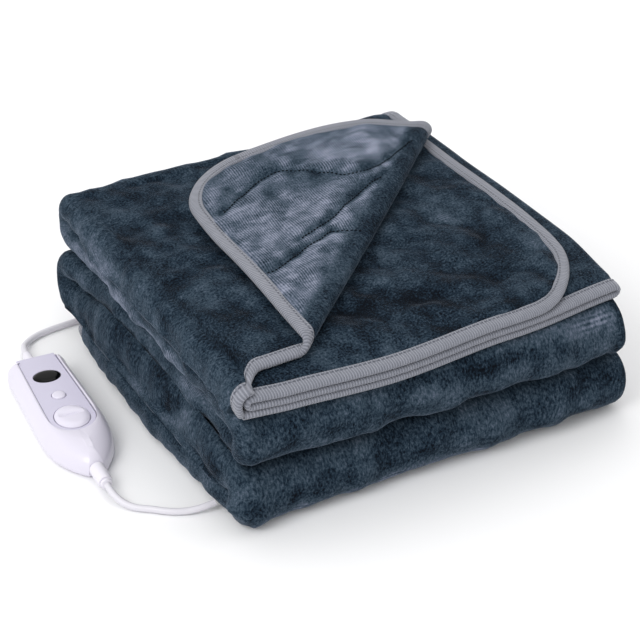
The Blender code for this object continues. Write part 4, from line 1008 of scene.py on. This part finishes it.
def ripples(x, y, seed):
    """Uneven waves: for each wavelength seven sines in seeded directions, their sum over the
    root of half their number."""
    source = np.random.default_rng(seed)
    total = np.zeros_like(x)
    for length, high in RIPPLES:
        way = source.uniform(0, 2 * math.pi, (2, WAVE_COUNT))
        scale = source.uniform(*WAVE_SCALES, WAVE_COUNT)
        for angle, start, share in zip(way[0], way[1], scale):
            rate = 2 * math.pi / (length * share)
            total = total + high * np.sin(rate * (x * np.cos(angle) + y * np.sin(angle)) + start)
    return total / math.sqrt(WAVE_COUNT / 2)


def faces_seen(s, t, side, place, normal):
    """How far each point is on each open face, 0 to 1: name to (share, x, y on the face)."""
    u, v, z = place[..., 0], place[..., 1], place[..., 2]
    across_run, along_run = run_of(s, ACROSS_AT), run_of(t, ALONG_AT)
    plan_u, _, _ = across(s, t)
    plan_v = along(t, plan_u, across_run)[0]
    beyond = (plan_u - plan_v - FLAP_OFFSET) / ROOT2
    arc = math.pi * eased((plan_u + plan_v) / ROOT2, ROLL_AT, ROLL_RADIUS)
    top = (across_run == 0) & (along_run == 0)
    second = (across_run == 6) & (along_run == 0)
    outer, under = side > 0, side < 0
    left, front, back = (np.clip((facing - FACING_FROM) / FACING_OVER, 0, 1)
                         for facing in (-normal[..., 0], -normal[..., 1], normal[..., 1]))
    left = left * (u < SIDE_DEEP)
    front = front * (v < SIDE_DEEP) * (along_run > 0)
    back = back * (v > BACK_FROM_V)
    return {
        "flap": ((top & under) * eased(beyond - arc, (0.0, FACE_EASE), (0, 1)), s, t),
        "top": ((top & outer) * eased(-beyond, (0.0, FACE_EASE), (0, 1)), u, v),
        "second": ((second & under) * eased(beyond, SECOND_EASE, (0, 1)), u, v),
        "left": (left * outer * (across_run == 1), v, z),
        "front": (front * outer * (across_run == 2), u, z),
        "back": (back * outer * (across_run == 0) * ~top, u, z),
    }


def face_height(name, x, y):
    """Height over the fold at places on one face: waves, creases, each its rise where it is near,
    and on the turned-back corner puffs with quilting troughs between."""
    high = FACE_WAVES[name] * ripples(x, y, len(name) + ord(name[0]))
    for face, half, rise, line in CREASES:
        if face == name:
            high = high + rise * beside_lines(x, y, [line], half)
    if name == "flap":
        close = beside_lines(x, y, QUILT_LINES, QUILT_HALF_WIDE)
        high = high + PUFF_HIGH - (QUILT_DEEP + PUFF_HIGH) * close
    return high


def relief(s, t, side, place, normal):
    """Height of the cloth's face over its fold: each open face's height where it is seen."""
    total = np.zeros_like(s)
    for name, (share, x, y) in faces_seen(s, t, side, place, normal).items():
        total = total + share * face_height(name, x, y)
    return np.clip(total, RELIEF_LOW, RELIEF_HIGH)


def left_fill(s, place):
    """Shift of the left side's outer face: the grooves of the pressed seams are filled, and a
    section's upper half rises, z + rise x cos q, and squares off, (sin q)^power for sin q."""
    v, z = place[..., 1], place[..., 2]
    here = run_of(s, ACROSS_AT) == 1
    out, up = np.zeros_like(s), np.zeros_like(s)
    fills = (eased(v, UPPER_FILL_V, (1.0, 0.0)), eased(v, LOWER_FILL_V, (0.0, 1.0)))
    for (seam, *push), fill in zip(LEFT_PRESS, fills):
        rest = np.maximum(SEAM_FILL - eased(v, PRESS_STATIONS, push), 0.0)
        out = out - fill * rest * beside_seam(z, seam)
    for number, rise, power, shift, stations, shares in LEFT_SHAPES:
        level = (z - section_level(number)) / OUTER_TURN
        cosine = np.clip(level, 0.0, 1.0)
        sine = np.sqrt(np.clip(1.0 - level * level, 0.0, 1.0))
        share = eased(v, stations, shares) * (np.abs(level) <= TURN_LIMIT)
        squarer = (sine ** power - sine) * (OUTER_TURN + CLOTH_THICK / 2) * (level > 0)
        out = out + share * (shift * sine - squarer)
        up = up + share * rise * cosine
    return np.stack([out * here, np.zeros_like(s), up * here], axis=-1)


def edge_share(s, t):
    """Share of the full thickness, growing over THICK_REACH from the binding inward."""
    inward = np.minimum(np.minimum(s, CLOTH_WIDE - s), np.minimum(t, CLOTH_LONG - t))
    return eased(inward - CLOTH_INSET, (0.0, THICK_REACH), (THICK_SHARE, 1.0))


def round_corners(s, t):
    """Draw the flat rectangle's corners in to quarter circles: x' = x sqrt(1 - y^2 / 2)."""
    radius = CORNER_ROUND - CLOTH_INSET
    low_s, high_s = CORNER_ROUND, CLOTH_WIDE - CORNER_ROUND
    low_t, high_t = CORNER_ROUND, CLOTH_LONG - CORNER_ROUND
    base_s, base_t = np.clip(s, low_s, high_s), np.clip(t, low_t, high_t)
    x, y = (s - base_s) / radius, (t - base_t) / radius
    return (base_s + radius * x * np.sqrt(1 - y * y / 2),
            base_t + radius * y * np.sqrt(1 - x * x / 2))


def cloth_face(s, t, side, lift=0.0):
    """World points of one face of the cloth: fold + normal x (half thickness + relief)."""
    bent_s, bent_t = round_corners(s, t)
    place = fold(bent_s, bent_t)
    normal = fold_normal(bent_s, bent_t) * side
    half = CLOTH_THICK / 2 * edge_share(s, t)
    high = relief(bent_s, bent_t, side, place, normal) * edge_share(s, t) + half + lift
    if side > 0:
        place = place + left_fill(bent_s, place)
    return place + normal * high[..., None] - PLAN_CENTRE, bent_s, bent_t


# Net of the cloth: cells in each run across it, None for cells of FINE_STEP; rows in a section
# and in a half turn
FINE_STEP = 0.0032
RUN_CELLS = (None, 12, 80, 5, 6, 5, None)
SECTION_ROWS = 60
TURN_ROWS = 16
NEAR_ROWS = 6                       # rows of a section beside a turn that are as fine as it

# Columns kept in each band of rows: every so many in each run across the cloth
BAND_STRIDES = {
    "top": (1, 1, 10, 1, 1, 1, 1),
    "back": (3, 1, 10, 1, 1, 1, 12),
    "front": (12, 1, 1, 1, 1, 1, 12),
    "plain": (12, 1, 10, 1, 1, 1, 12),
}


def column_places():
    """Columns across the cloth and, for each band, which of them it keeps."""
    places = [np.array([CLOTH_INSET])]
    kept = {name: [0] for name in BAND_STRIDES}
    count = 0
    for run, cells in enumerate(RUN_CELLS):
        first = max(ACROSS_AT[run], CLOTH_INSET)
        last = min(ACROSS_AT[run + 1], CLOTH_WIDE - CLOTH_INSET)
        if cells:
            found = np.linspace(first, last, cells + 1)[1:]
        else:
            found = np.append(np.arange(first + FINE_STEP, last - FINE_STEP / 2, FINE_STEP), last)
        for name, strides in BAND_STRIDES.items():
            steps = np.arange(strides[run], len(found), strides[run])
            kept[name] += list(count + steps) + [count + len(found)]
        places.append(found)
        count += len(found)
    return np.concatenate(places), {name: np.unique(found) for name, found in kept.items()}


def row_places():
    """Rows along the cloth and the band of each gap between two rows."""
    places = [CLOTH_INSET]
    bands = []
    for run in range(len(ALONG_RUNS)):
        first = max(ALONG_AT[run], CLOTH_INSET)
        last = min(ALONG_AT[run + 1], CLOTH_LONG - CLOTH_INSET)
        if run == 0:
            found = np.append(np.arange(first + FINE_STEP, last - FINE_STEP / 2, FINE_STEP), last)
            names = ["top"] * len(found)
        elif run % 2:
            found = np.linspace(first, last, TURN_ROWS + 1)[1:]
            names = ["front" if run % 4 == 3 else "back"] * TURN_ROWS
        else:
            found = np.linspace(first, last, SECTION_ROWS + 1)[1:]
            names = ["plain"] * SECTION_ROWS
            if run + 1 < len(ALONG_RUNS) and (run + 1) % 4 == 3:
                names[-NEAR_ROWS:] = ["front"] * NEAR_ROWS
            if (run - 1) % 4 == 3:
                names[:NEAR_ROWS] = ["front"] * NEAR_ROWS
        places += list(found)
        bands += names
    return np.array(places), bands


def cloth_mesh():
    """Both faces of the cloth over one net of rows and columns, closed round its edge.  A row
    between two bands holds the columns of both; the faces beside it take the extra points."""
    column, kept = column_places()
    row, bands = row_places()
    present = np.zeros((len(row), len(column)), bool)
    for number, name in enumerate(bands):
        present[number, kept[name]] = True
        present[number + 1, kept[name]] = True
    index = np.where(present, np.cumsum(present.ravel()).reshape(present.shape) - 1, -1)
    at_row, at_column = np.nonzero(present)
    s, t = column[at_column], row[at_row]
    quads, joins = [], []
    for number, name in enumerate(bands):
        keep = kept[name]
        if present[number].sum() == len(keep) and present[number + 1].sum() == len(keep):
            low, high = index[number, keep], index[number + 1, keep]
            quads.append(np.stack([low[:-1], low[1:], high[1:], high[:-1]], axis=-1))
            continue
        for first, last in zip(keep[:-1], keep[1:]):
            low = index[number, first:last + 1]
            high = index[number + 1, first:last + 1][::-1]
            joins.append([int(k) for k in np.concatenate([low[low >= 0], high[high >= 0]])])
    quads = np.concatenate(quads)
    # The layer with the loose corner has its quads halved along the line of the roll
    slant = (s[quads[:, 1]] <= ACROSS_AT[1] + 1e-9) & (t[quads[:, 2]] <= ALONG_AT[1] + 1e-9)
    loose = quads[slant]
    halves = np.concatenate([loose[:, [0, 1, 3]], loose[:, [1, 2, 3]]])
    net = quads[~slant].tolist() + halves.tolist() + joins
    rim = np.concatenate([index[0][index[0] >= 0], index[1:, -1][index[1:, -1] >= 0],
                          index[-1][index[-1] >= 0][::-1][1:],
                          index[1:-1, 0][index[1:-1, 0] >= 0][::-1]])
    following = np.roll(rim, -1)
    count = len(s)
    outer, bent_s, bent_t = cloth_face(s, t, 1.0)
    under, _, _ = cloth_face(s, t, -1.0)
    faces = [face[::-1] for face in net]
    faces += [[count + corner for corner in face] for face in net]
    faces += np.stack([rim, following, count + following, count + rim], axis=-1).tolist()
    return np.concatenate([outer, under]), faces, bent_s, bent_t


# Paleness of the pile, 0 dark to 1 pale, its tone with painted sheen and shade: each face's level,
# its way on the face, along which a rising slope is painted paler as if lit and a falling one
# darker, and how much a slope along that way counts
FACE_TONE_AND_SHEEN = {"flap": 0.34, "top": 0.10, "second": 0.09, "left": 0.17, "front": 0.16,
              "back": 0.14}
NAP_HIDDEN = 0.12                   # between the layers
PAINTED_LIGHT_WAYS = {"flap": (0.3, 1.0), "top": (1.0, 0.2), "second": (1.0, 0.4), "left": (0.0, -1.0),
              "front": (0.0, -1.0), "back": (0.0, -1.0)}
PILE_STEP = 0.004                   # distance over which the slope is taken
PAINTED_SLOPE_GAIN = {"flap": 0.45, "top": 0.45, "second": 0.55, "left": 0.45, "front": 0.40,
             "back": 0.40}
SLOPE_MOST = 0.4
SLOPE_SHARE = 2.2                   # part of a slope that goes by the level there
SLOPE_ALONE = 1 / 3                 # and part that goes by itself
PAINTED_TROUGH_SHADE = -0.10                  # painted shade in the troughs beside the quilting seams
TROUGH_HALF_WIDE = 0.0050

# Painted highlights where the pile catches the light (or painted shade, below zero): face, place
# on it, reach both ways, amount
PAINTED_LIGHT_PATCHES = [
    ("flap", 0.110, 0.060, 0.040, 0.050, 0.18),
    ("flap", 0.060, 0.200, 0.030, 0.050, 0.24),
    ("flap", 0.200, 0.030, 0.050, 0.030, 0.08),
    ("flap", 0.040, 0.130, 0.030, 0.030, 0.12),
    ("flap", 0.070, 0.110, 0.020, 0.060, -0.10),
    ("second", 0.243, 0.140, 0.030, 0.020, 0.16),
    ("second", 0.289, 0.060, 0.012, 0.040, 0.14),
    ("second", 0.150, 0.045, 0.060, 0.016, -0.10),
    ("left", 0.240, 0.090, 0.060, 0.020, 0.12),
    ("left", 0.120, 0.070, 0.060, 0.014, 0.10),
    ("left", 0.130, 0.079, 0.200, 0.006, 0.09),
    ("left", 0.150, 0.051, 0.150, 0.004, 0.08),
    ("left", 0.150, 0.012, 0.150, 0.008, 0.10),
    ("front", 0.300, 0.085, 0.050, 0.012, 0.14),
    ("front", 0.060, 0.045, 0.050, 0.008, 0.10),
    ("front", 0.180, 0.088, 0.150, 0.006, 0.11),
    ("front", 0.150, 0.007, 0.200, 0.006, 0.13),
]

# Colours of the plush, a row each: paleness of the pile with its painted sheen and shade, colour
PLUSH_TINTS = [
    (0.01, "040911"),
    (0.13, "172532"),
    (0.30, "364450"),
    (0.52, "5A6373"),
    (0.98, "9499AB"),
]

# Sizes of what shows in the pile
STROKE_SIZE = 1 / 24                # patches left by a stroking hand, some 40 mm
TUFT_SIZE = 1 / 560                 # tufts, just under 2 mm
RUMPLE_WIDE, RUMPLE_LONG = 1 / 95, 1 / 38   # rumples of brushed pile, some 10 by 26 mm
WALE_PITCH = 0.0021
WALE_WAVE = math.pi / 10            # a wave texture of scale 1 repeats after this distance
PALE_FROM, PALE_FULL = 0.26, 0.42   # wales and rumples show from this paleness, most from that
BRUSHED_MOST = 0.36                 # and their strength there


def painted_paleness_of(s, t, side):
    """Paleness of the pile at each point, with painted sheen, highlights and shade: level x (1 +
    SLOPE_SHARE x slope) + SLOPE_ALONE x slope, for its face's level with the painted highlights
    and shade of its patches, and the slope of the cloth there along that face's way, a rising
    slope painted paler as if lit."""
    place, normal = fold(s, t), fold_normal(s, t) * side
    total = np.full(s.shape, NAP_HIDDEN)
    for name, (share, x, y) in faces_seen(s, t, side, place, normal).items():
        level = np.full(s.shape, FACE_TONE_AND_SHEEN[name])
        # Painted highlights, and painted shade where the amount is below zero
        for face, x0, y0, wide, long, amount in PAINTED_LIGHT_PATCHES:
            if face == name:
                level = level + amount * np.exp(-((x - x0) / wide) ** 2 - ((y - y0) / long) ** 2)
        if name == "flap":
            # Painted shade in the quilting troughs
            level = level + PAINTED_TROUGH_SHADE * beside_lines(x, y, QUILT_LINES, TROUGH_HALF_WIDE)
        # Painted light and shade: a slope rising along the face's way is painted paler, as if lit,
        # a falling one darker
        step_x, step_y = np.array(PAINTED_LIGHT_WAYS[name]) * PILE_STEP
        slope = (face_height(name, x, y) - face_height(name, x - step_x, y - step_y)) / PILE_STEP
        slope = np.clip(slope * PAINTED_SLOPE_GAIN[name], -SLOPE_MOST, SLOPE_MOST)
        level = level * (1.0 + SLOPE_SHARE * slope) + SLOPE_ALONE * slope
        total = total + share * (level - NAP_HIDDEN)
    return total


def worked(tree, operation, first, second=0.0, **settings):
    """Value of one math node for two numbers or links."""
    made = add_node(tree, "ShaderNodeMath", {0: first, 1: second}, operation=operation, **settings)
    return made.outputs["Value"]


def ranged(tree, value, start, stop, low, high, **settings):
    """Value that runs from low to high while the given one runs from start to stop."""
    made = add_node(tree, "ShaderNodeMapRange", {
        "Value": value, "From Min": start, "From Max": stop, "To Min": low, "To Max": high},
        **settings)
    return made.outputs["Result"]


def plush_material():
    """Slate-blue polyester plush: short soft pile that pales at a grazing angle, speckled by its
    tufts, mottled where a hand has stroked it, its colour paled and darkened by the painted sheen,
    highlights and shade of the cloth's attribute, and with fine wales along the cloth's width that
    show most where that paleness is high."""
    made, tree, shader = new_material("slate_blue_plush", "33414F", 0.80,
                                      Sheen_Weight=0.42, Sheen_Roughness=0.17,
                                      Specular_IOR_Level=0.06)
    shader.inputs["Sheen Tint"].default_value = linear("B4C4DA")
    flat = add_node(tree, "ShaderNodeUVMap", {}, uv_map="cloth").outputs["UV"]
    tone_and_painted_light = add_node(tree, "ShaderNodeAttribute", {}, attribute_name="tone_and_painted_light").outputs["Fac"]

    # Soft clouds a hand's stroke wide, and a fine grain of tufts all over
    strokes = add_node(tree, "ShaderNodeTexNoise", {
        "Vector": flat, "Scale": 1 / STROKE_SIZE, "Detail": 9.0, "Roughness": 0.80,
        "Distortion": 0.15}).outputs["Fac"]
    tufts = add_node(tree, "ShaderNodeTexNoise", {
        "Vector": flat, "Scale": 1 / TUFT_SIZE, "Detail": 3.0, "Roughness": 0.8}).outputs["Fac"]

    # Straight fine lines and small rumples, seen on the brushed-off pile of the turned corner
    wales = add_node(tree, "ShaderNodeTexWave", {
        "Vector": flat, "Scale": WALE_WAVE / WALE_PITCH, "Distortion": 1.2, "Detail": 3.0,
        "Detail Scale": 1.5, "Detail Roughness": 0.7}, bands_direction="Y").outputs["Fac"]
    stretched = add_node(tree, "ShaderNodeMapping", {
        "Vector": flat, "Scale": (1 / RUMPLE_WIDE, 1 / RUMPLE_LONG, 1.0)}).outputs["Vector"]
    rumples = add_node(tree, "ShaderNodeTexNoise", {
        "Vector": stretched, "Scale": 1.0, "Detail": 6.0, "Roughness": 0.7,
        "Distortion": 0.3}).outputs["Fac"]
    pale_share = ranged(tree, tone_and_painted_light, PALE_FROM, PALE_FULL, 0.0, BRUSHED_MOST)

    # Paleness in all, then its colour
    # The rumples pale and darken the colour: painted highlights and shade on small wrinkles, whose
    # bump below is real
    rumple_light_and_shade = ranged(tree, rumples, 0.34, 0.68, -0.38, 0.62, interpolation_type="SMOOTHSTEP")
    lined = ranged(tree, wales, 0.0, 1.0, -0.5, 0.5)
    stroked = ranged(tree, strokes, 0.38, 0.66, -0.06, 0.15, interpolation_type="SMOOTHSTEP")
    speckled = ranged(tree, tufts, 0.36, 0.68, -0.13, 0.20)
    total = worked(tree, "ADD", tone_and_painted_light, stroked)
    total = worked(tree, "ADD", total, worked(tree, "MULTIPLY", rumple_light_and_shade, pale_share))
    total = worked(tree, "ADD", total, speckled)
    total = worked(tree, "ADD", total, worked(tree, "MULTIPLY", lined, pale_share),
                   use_clamp=True)
    tint = add_node(tree, "ShaderNodeValToRGB", {"Fac": total})
    for paleness, code in PLUSH_TINTS:
        stop = tint.color_ramp.elements.new(paleness)
        stop.color = linear(code)
    tint.color_ramp.elements.remove(tint.color_ramp.elements[0])
    tint.color_ramp.elements.remove(tint.color_ramp.elements[-1])
    tree.links.new(tint.outputs["Color"], shader.inputs["Base Color"])

    # The same four as bumps, their distances in metres
    bump = add_node(tree, "ShaderNodeBump", {
        "Height": strokes, "Strength": 0.35, "Distance": 0.0030})
    for height, strength, distance in ((rumples, pale_share, 0.0040),
                                       (wales, pale_share, 0.0008), (tufts, 0.6, 0.0008)):
        bump = add_node(tree, "ShaderNodeBump", {
            "Height": height, "Strength": strength, "Distance": distance,
            "Normal": bump.outputs["Normal"]})
    tree.links.new(bump.outputs["Normal"], shader.inputs["Normal"])
    return made


def lay_flat(mesh, name, first, second):
    """UV map that gives each corner its point's flat coordinates in metres."""
    corner = np.zeros(len(mesh.loops), np.int32)
    mesh.loops.foreach_get("vertex_index", corner)
    flat = np.stack([first, second], axis=-1)[corner]
    mesh.uv_layers.new(name=name).data.foreach_set("uv", flat.astype(np.float32).ravel())


points, faces, flat_s, flat_t = cloth_mesh()
plush = plush_material()
cloth = add_piece("plush_cloth", points, faces, plush, "blanket", 75.0)
lay_flat(cloth.data, "cloth", np.concatenate([flat_s, flat_s + CLOTH_WIDE]),
         np.concatenate([flat_t, flat_t]))
# Pile tone with its painted sheen, highlights and shade, as a point attribute for the plush
tone_and_painted_light = np.concatenate([painted_paleness_of(flat_s, flat_t, 1.0), painted_paleness_of(flat_s, flat_t, -1.0)])
cloth.data.attributes.new("tone_and_painted_light", "FLOAT", "POINT").data.foreach_set("value", tone_and_painted_light)
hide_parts("blanket_cloth")

# ---------------------------------------------------------------- edge binding
# A grey ribbed knit band folded round the raw edge and sewn through near its inner side; it
# follows the whole edge of the folded cloth, round its four rounded corners.

BINDING_HALF_THICK = 0.0027
BINDING_STEP = 0.0034               # from one place to the next on flat cloth
TURN_STEP = 0.0016                  # and in the half turns
CORNER_STEPS = 30
ROLL_REACH = (-0.008, 0.045)        # close stations before and after the roll crosses the edge
ROLL_ON_FRONT = 0.275               # where it crosses the flat sheet's front edge
ROLL_ON_LEFT = 0.298                # and its left edge

# Binding section: distance in from the edge over its width, share of half thickness
BINDING_SECTION = np.array([
    (1.00, 0.52),
    (0.92, 0.86),
    (0.80, 1.00),
    (0.72, 0.90),
    (0.50, 1.02),
    (0.25, 0.98),
    (0.09, 0.70),
    (0.00, 0.00),
    (0.09, -0.70),
    (0.25, -0.98),
    (0.50, -1.02),
    (0.72, -0.90),
    (0.80, -1.00),
    (0.92, -0.86),
    (1.00, -0.52),
])


def edge_stations(starts, long, close):
    """Places along one straight side, close together in the half turns and at the roll."""
    found = []
    for number, (first, last) in enumerate(zip(starts[:-1], starts[1:])):
        step = TURN_STEP if number % 2 else BINDING_STEP
        found.append(np.linspace(first, last, max(2, int((last - first) / step) + 1))[:-1])
    found = np.concatenate(found)
    clear = CORNER_ROUND + TURN_STEP
    found = found[(found > clear) & (found < long - clear)]
    if close:
        found = found[(found < close[0]) | (found > close[1])]
        found = np.sort(np.append(found, np.arange(close[0], close[1], TURN_STEP)))
    return found


def binding_path():
    """Outer edge of the flat cloth with rounded corners: points, inward directions, distance."""
    near = CORNER_ROUND
    reach = np.array(ROLL_REACH)
    front = edge_stations(ACROSS_AT, CLOTH_WIDE, tuple(ROLL_ON_FRONT - reach[::-1]))
    back = edge_stations(ACROSS_AT, CLOTH_WIDE, None)
    right = edge_stations(ALONG_AT, CLOTH_LONG, None)
    left = edge_stations(ALONG_AT, CLOTH_LONG, tuple(ROLL_ON_LEFT - reach[::-1]))
    corner = np.linspace(0, 90, CORNER_STEPS + 1)
    rows = []
    for s, t, start, straight, way in (
            (near, near, 180, front, "front"),
            (CLOTH_WIDE - near, near, 270, right, "right"),
            (CLOTH_WIDE - near, CLOTH_LONG - near, 0, back[::-1], "back"),
            (near, CLOTH_LONG - near, 90, left[::-1], "left")):
        angle = np.radians(start + corner)
        rows.append(np.stack([s + near * np.cos(angle), t + near * np.sin(angle),
                              -np.cos(angle), -np.sin(angle)], axis=-1))
        fixed = {"front": (None, 0.0, 0.0, 1.0), "right": (CLOTH_WIDE, None, -1.0, 0.0),
                 "back": (None, CLOTH_LONG, 0.0, -1.0), "left": (0.0, None, 1.0, 0.0)}[way]
        line = [straight if part is None else np.full(len(straight), part) for part in fixed]
        rows.append(np.stack(line, axis=-1))
    rows = np.concatenate(rows)
    return rows[:, :2], rows[:, 2:], walked_to(rows[:, :2])


KNIT_RIB_PITCH = 0.0021
KNIT_PATCH_SIZE = 1 / 160           # uneven grey, in patches of some 6 mm
SEAM_PLACE = 0.72                   # the seam's distance from the edge over the band's width
SEAM_HALF_WIDE = 0.0007
SEAM_PITCH = 0.0036
SEAM_DASH = 0.7                     # share of the pitch that a stitch covers
SEAM_SHOWS = 0.75                   # how fully the thread covers the knit
MIX_SHARE, MIX_FIRST, MIX_SECOND, MIX_RESULT = 0, 6, 7, 2       # colour sockets of a mix node


def knit_material():
    """Grey polyester rib knit: fine cross ribs with painted shade in their valleys and a darker
    sewing line.
    """
    made, tree, shader = new_material("grey_ribbed_knit", "8B8D98", 0.85,
                                      Sheen_Weight=0.2, Specular_IOR_Level=0.25)
    flat = add_node(tree, "ShaderNodeUVMap", {}, uv_map="band").outputs["UV"]
    parts = add_node(tree, "ShaderNodeSeparateXYZ", {"Vector": flat})
    along_band, from_edge = parts.outputs["X"], parts.outputs["Y"]

    # Light ribs across the band with painted shade in the valleys between them, over a slightly
    # uneven grey
    rate = worked(tree, "MULTIPLY", along_band, 2 * math.pi / KNIT_RIB_PITCH)
    rib = worked(tree, "SINE", rate)
    patch = add_node(tree, "ShaderNodeTexNoise", {
        "Vector": flat, "Scale": 1 / KNIT_PATCH_SIZE, "Detail": 3.0}).outputs["Fac"]
    base = add_node(tree, "ShaderNodeMix", {
        MIX_SHARE: patch, MIX_FIRST: linear("7F828C"), MIX_SECOND: linear("989AA4")},
        data_type="RGBA")
    shaded_ribs = add_node(tree, "ShaderNodeMix", {
        MIX_SHARE: ranged(tree, rib, -1.0, 1.0, 0.0, 0.62),
        MIX_FIRST: base.outputs[MIX_RESULT], MIX_SECOND: linear("4E525C")},
        data_type="RGBA")

    # Dashes of darker thread near the band's inner side
    away = worked(tree, "SUBTRACT", from_edge, SEAM_PLACE * BINDING_WIDE)
    sewn = worked(tree, "LESS_THAN", worked(tree, "ABSOLUTE", away), SEAM_HALF_WIDE)
    dash = worked(tree, "FRACT", worked(tree, "DIVIDE", along_band, SEAM_PITCH))
    dash = worked(tree, "LESS_THAN", dash, SEAM_DASH)
    line = worked(tree, "MULTIPLY", worked(tree, "MULTIPLY", sewn, dash), SEAM_SHOWS)
    final = add_node(tree, "ShaderNodeMix", {
        MIX_SHARE: line, MIX_FIRST: shaded_ribs.outputs[MIX_RESULT], MIX_SECOND: linear("3C404B")},
        data_type="RGBA")
    tree.links.new(final.outputs[MIX_RESULT], shader.inputs["Base Color"])
    bump = add_node(tree, "ShaderNodeBump", {
        "Height": rib, "Strength": 0.6, "Distance": -0.0005})
    tree.links.new(bump.outputs["Normal"], shader.inputs["Normal"])
    return made


edge, inward, walked = binding_path()
knit = knit_material()
distance = BINDING_SECTION[:, 0] * BINDING_WIDE
flat_point = edge[:, None, :] + inward[:, None, :] * distance[None, :, None]
offset = BINDING_SECTION[:, 1] * BINDING_HALF_THICK
band_points = (fold(flat_point[..., 0], flat_point[..., 1]) - PLAN_CENTRE
               + fold_normal(flat_point[..., 0], flat_point[..., 1]) * offset[None, :, None])
section_count = len(BINDING_SECTION)
band_faces = ring_faces(len(edge), section_count, closed_rows=True)
binding = add_piece("knit_binding", band_points, band_faces, knit, "blanket", 75.0)
run_along = np.repeat(walked, section_count)
run_across = np.tile(distance, len(edge))
lay_flat(binding.data, "band", run_along, run_across)
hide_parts("edge_binding")

# ---------------------------------------------------------------- quilting stitches
# Dark thread showing as short dashes in the troughs of the turned-back corner, sewn through
# both layers of the plush.

STITCH_PITCH = 0.0036
STITCH_LONG = 0.0021
STITCH_RADIUS = 0.00060
STITCH_PROUD = 0.0003
STITCH_ROUND = 8
STITCH_AHEAD = 1e-4                 # step along a quilting line that gives its direction

# Section of a stitch, a row per ring: share of its length, share of its radius
STITCH_PROFILE = np.array([(0.0, 0.25), (0.12, 0.85), (0.5, 1.0), (0.88, 0.85), (1.0, 0.25)])


def stitch_rings():
    """Short rods along the quilting lines, just proud of the cloth's under face."""
    middles, ways = [], []
    for line in QUILT_LINES:
        knots = np.array(line)
        at = walked_to(knots)
        goal = np.arange(STITCH_PITCH, at[-1] - STITCH_PITCH, STITCH_PITCH)
        middles.append(through(goal, at, knots))
        ways.append(through(goal + STITCH_AHEAD, at, knots) - middles[-1])
    middle, way = np.concatenate(middles), np.concatenate(ways)
    way /= np.linalg.norm(way, axis=1)[:, None]
    step = (STITCH_PROFILE[:, 0] - 0.5) * STITCH_LONG
    flat = middle[:, None, :] + way[:, None, :] * step[None, :, None]
    centre, bent_s, bent_t = cloth_face(flat[..., 0], flat[..., 1], -1.0, STITCH_PROUD)
    up = -fold_normal(bent_s, bent_t)
    heading = centre[:, -1] - centre[:, 0]
    heading /= np.linalg.norm(heading, axis=1)[:, None]
    side = np.cross(up, heading[:, None, :])
    angle = angles_round(STITCH_ROUND)
    wheel = (np.cos(angle)[:, None] * side[:, :, None, :]
             + np.sin(angle)[:, None] * up[:, :, None, :])
    return centre[:, :, None, :] + STITCH_RADIUS * STITCH_PROFILE[None, :, 1, None, None] * wheel


# The thread is nearly black, so that its dashes stand out in the pale plush
thread_dark, _, _ = new_material("dark_sewing_thread", "060A12", 0.8,
                                 Specular_IOR_Level=0.1)
rods = stitch_rings()
rod_faces = []
for number in range(len(rods)):
    rod_faces += ring_faces(rods.shape[1], STITCH_ROUND, capped=True,
                            start=number * rods.shape[1] * STITCH_ROUND)
stitches = add_piece("quilting_stitches", rods, rod_faces, thread_dark, "blanket", 75.0)
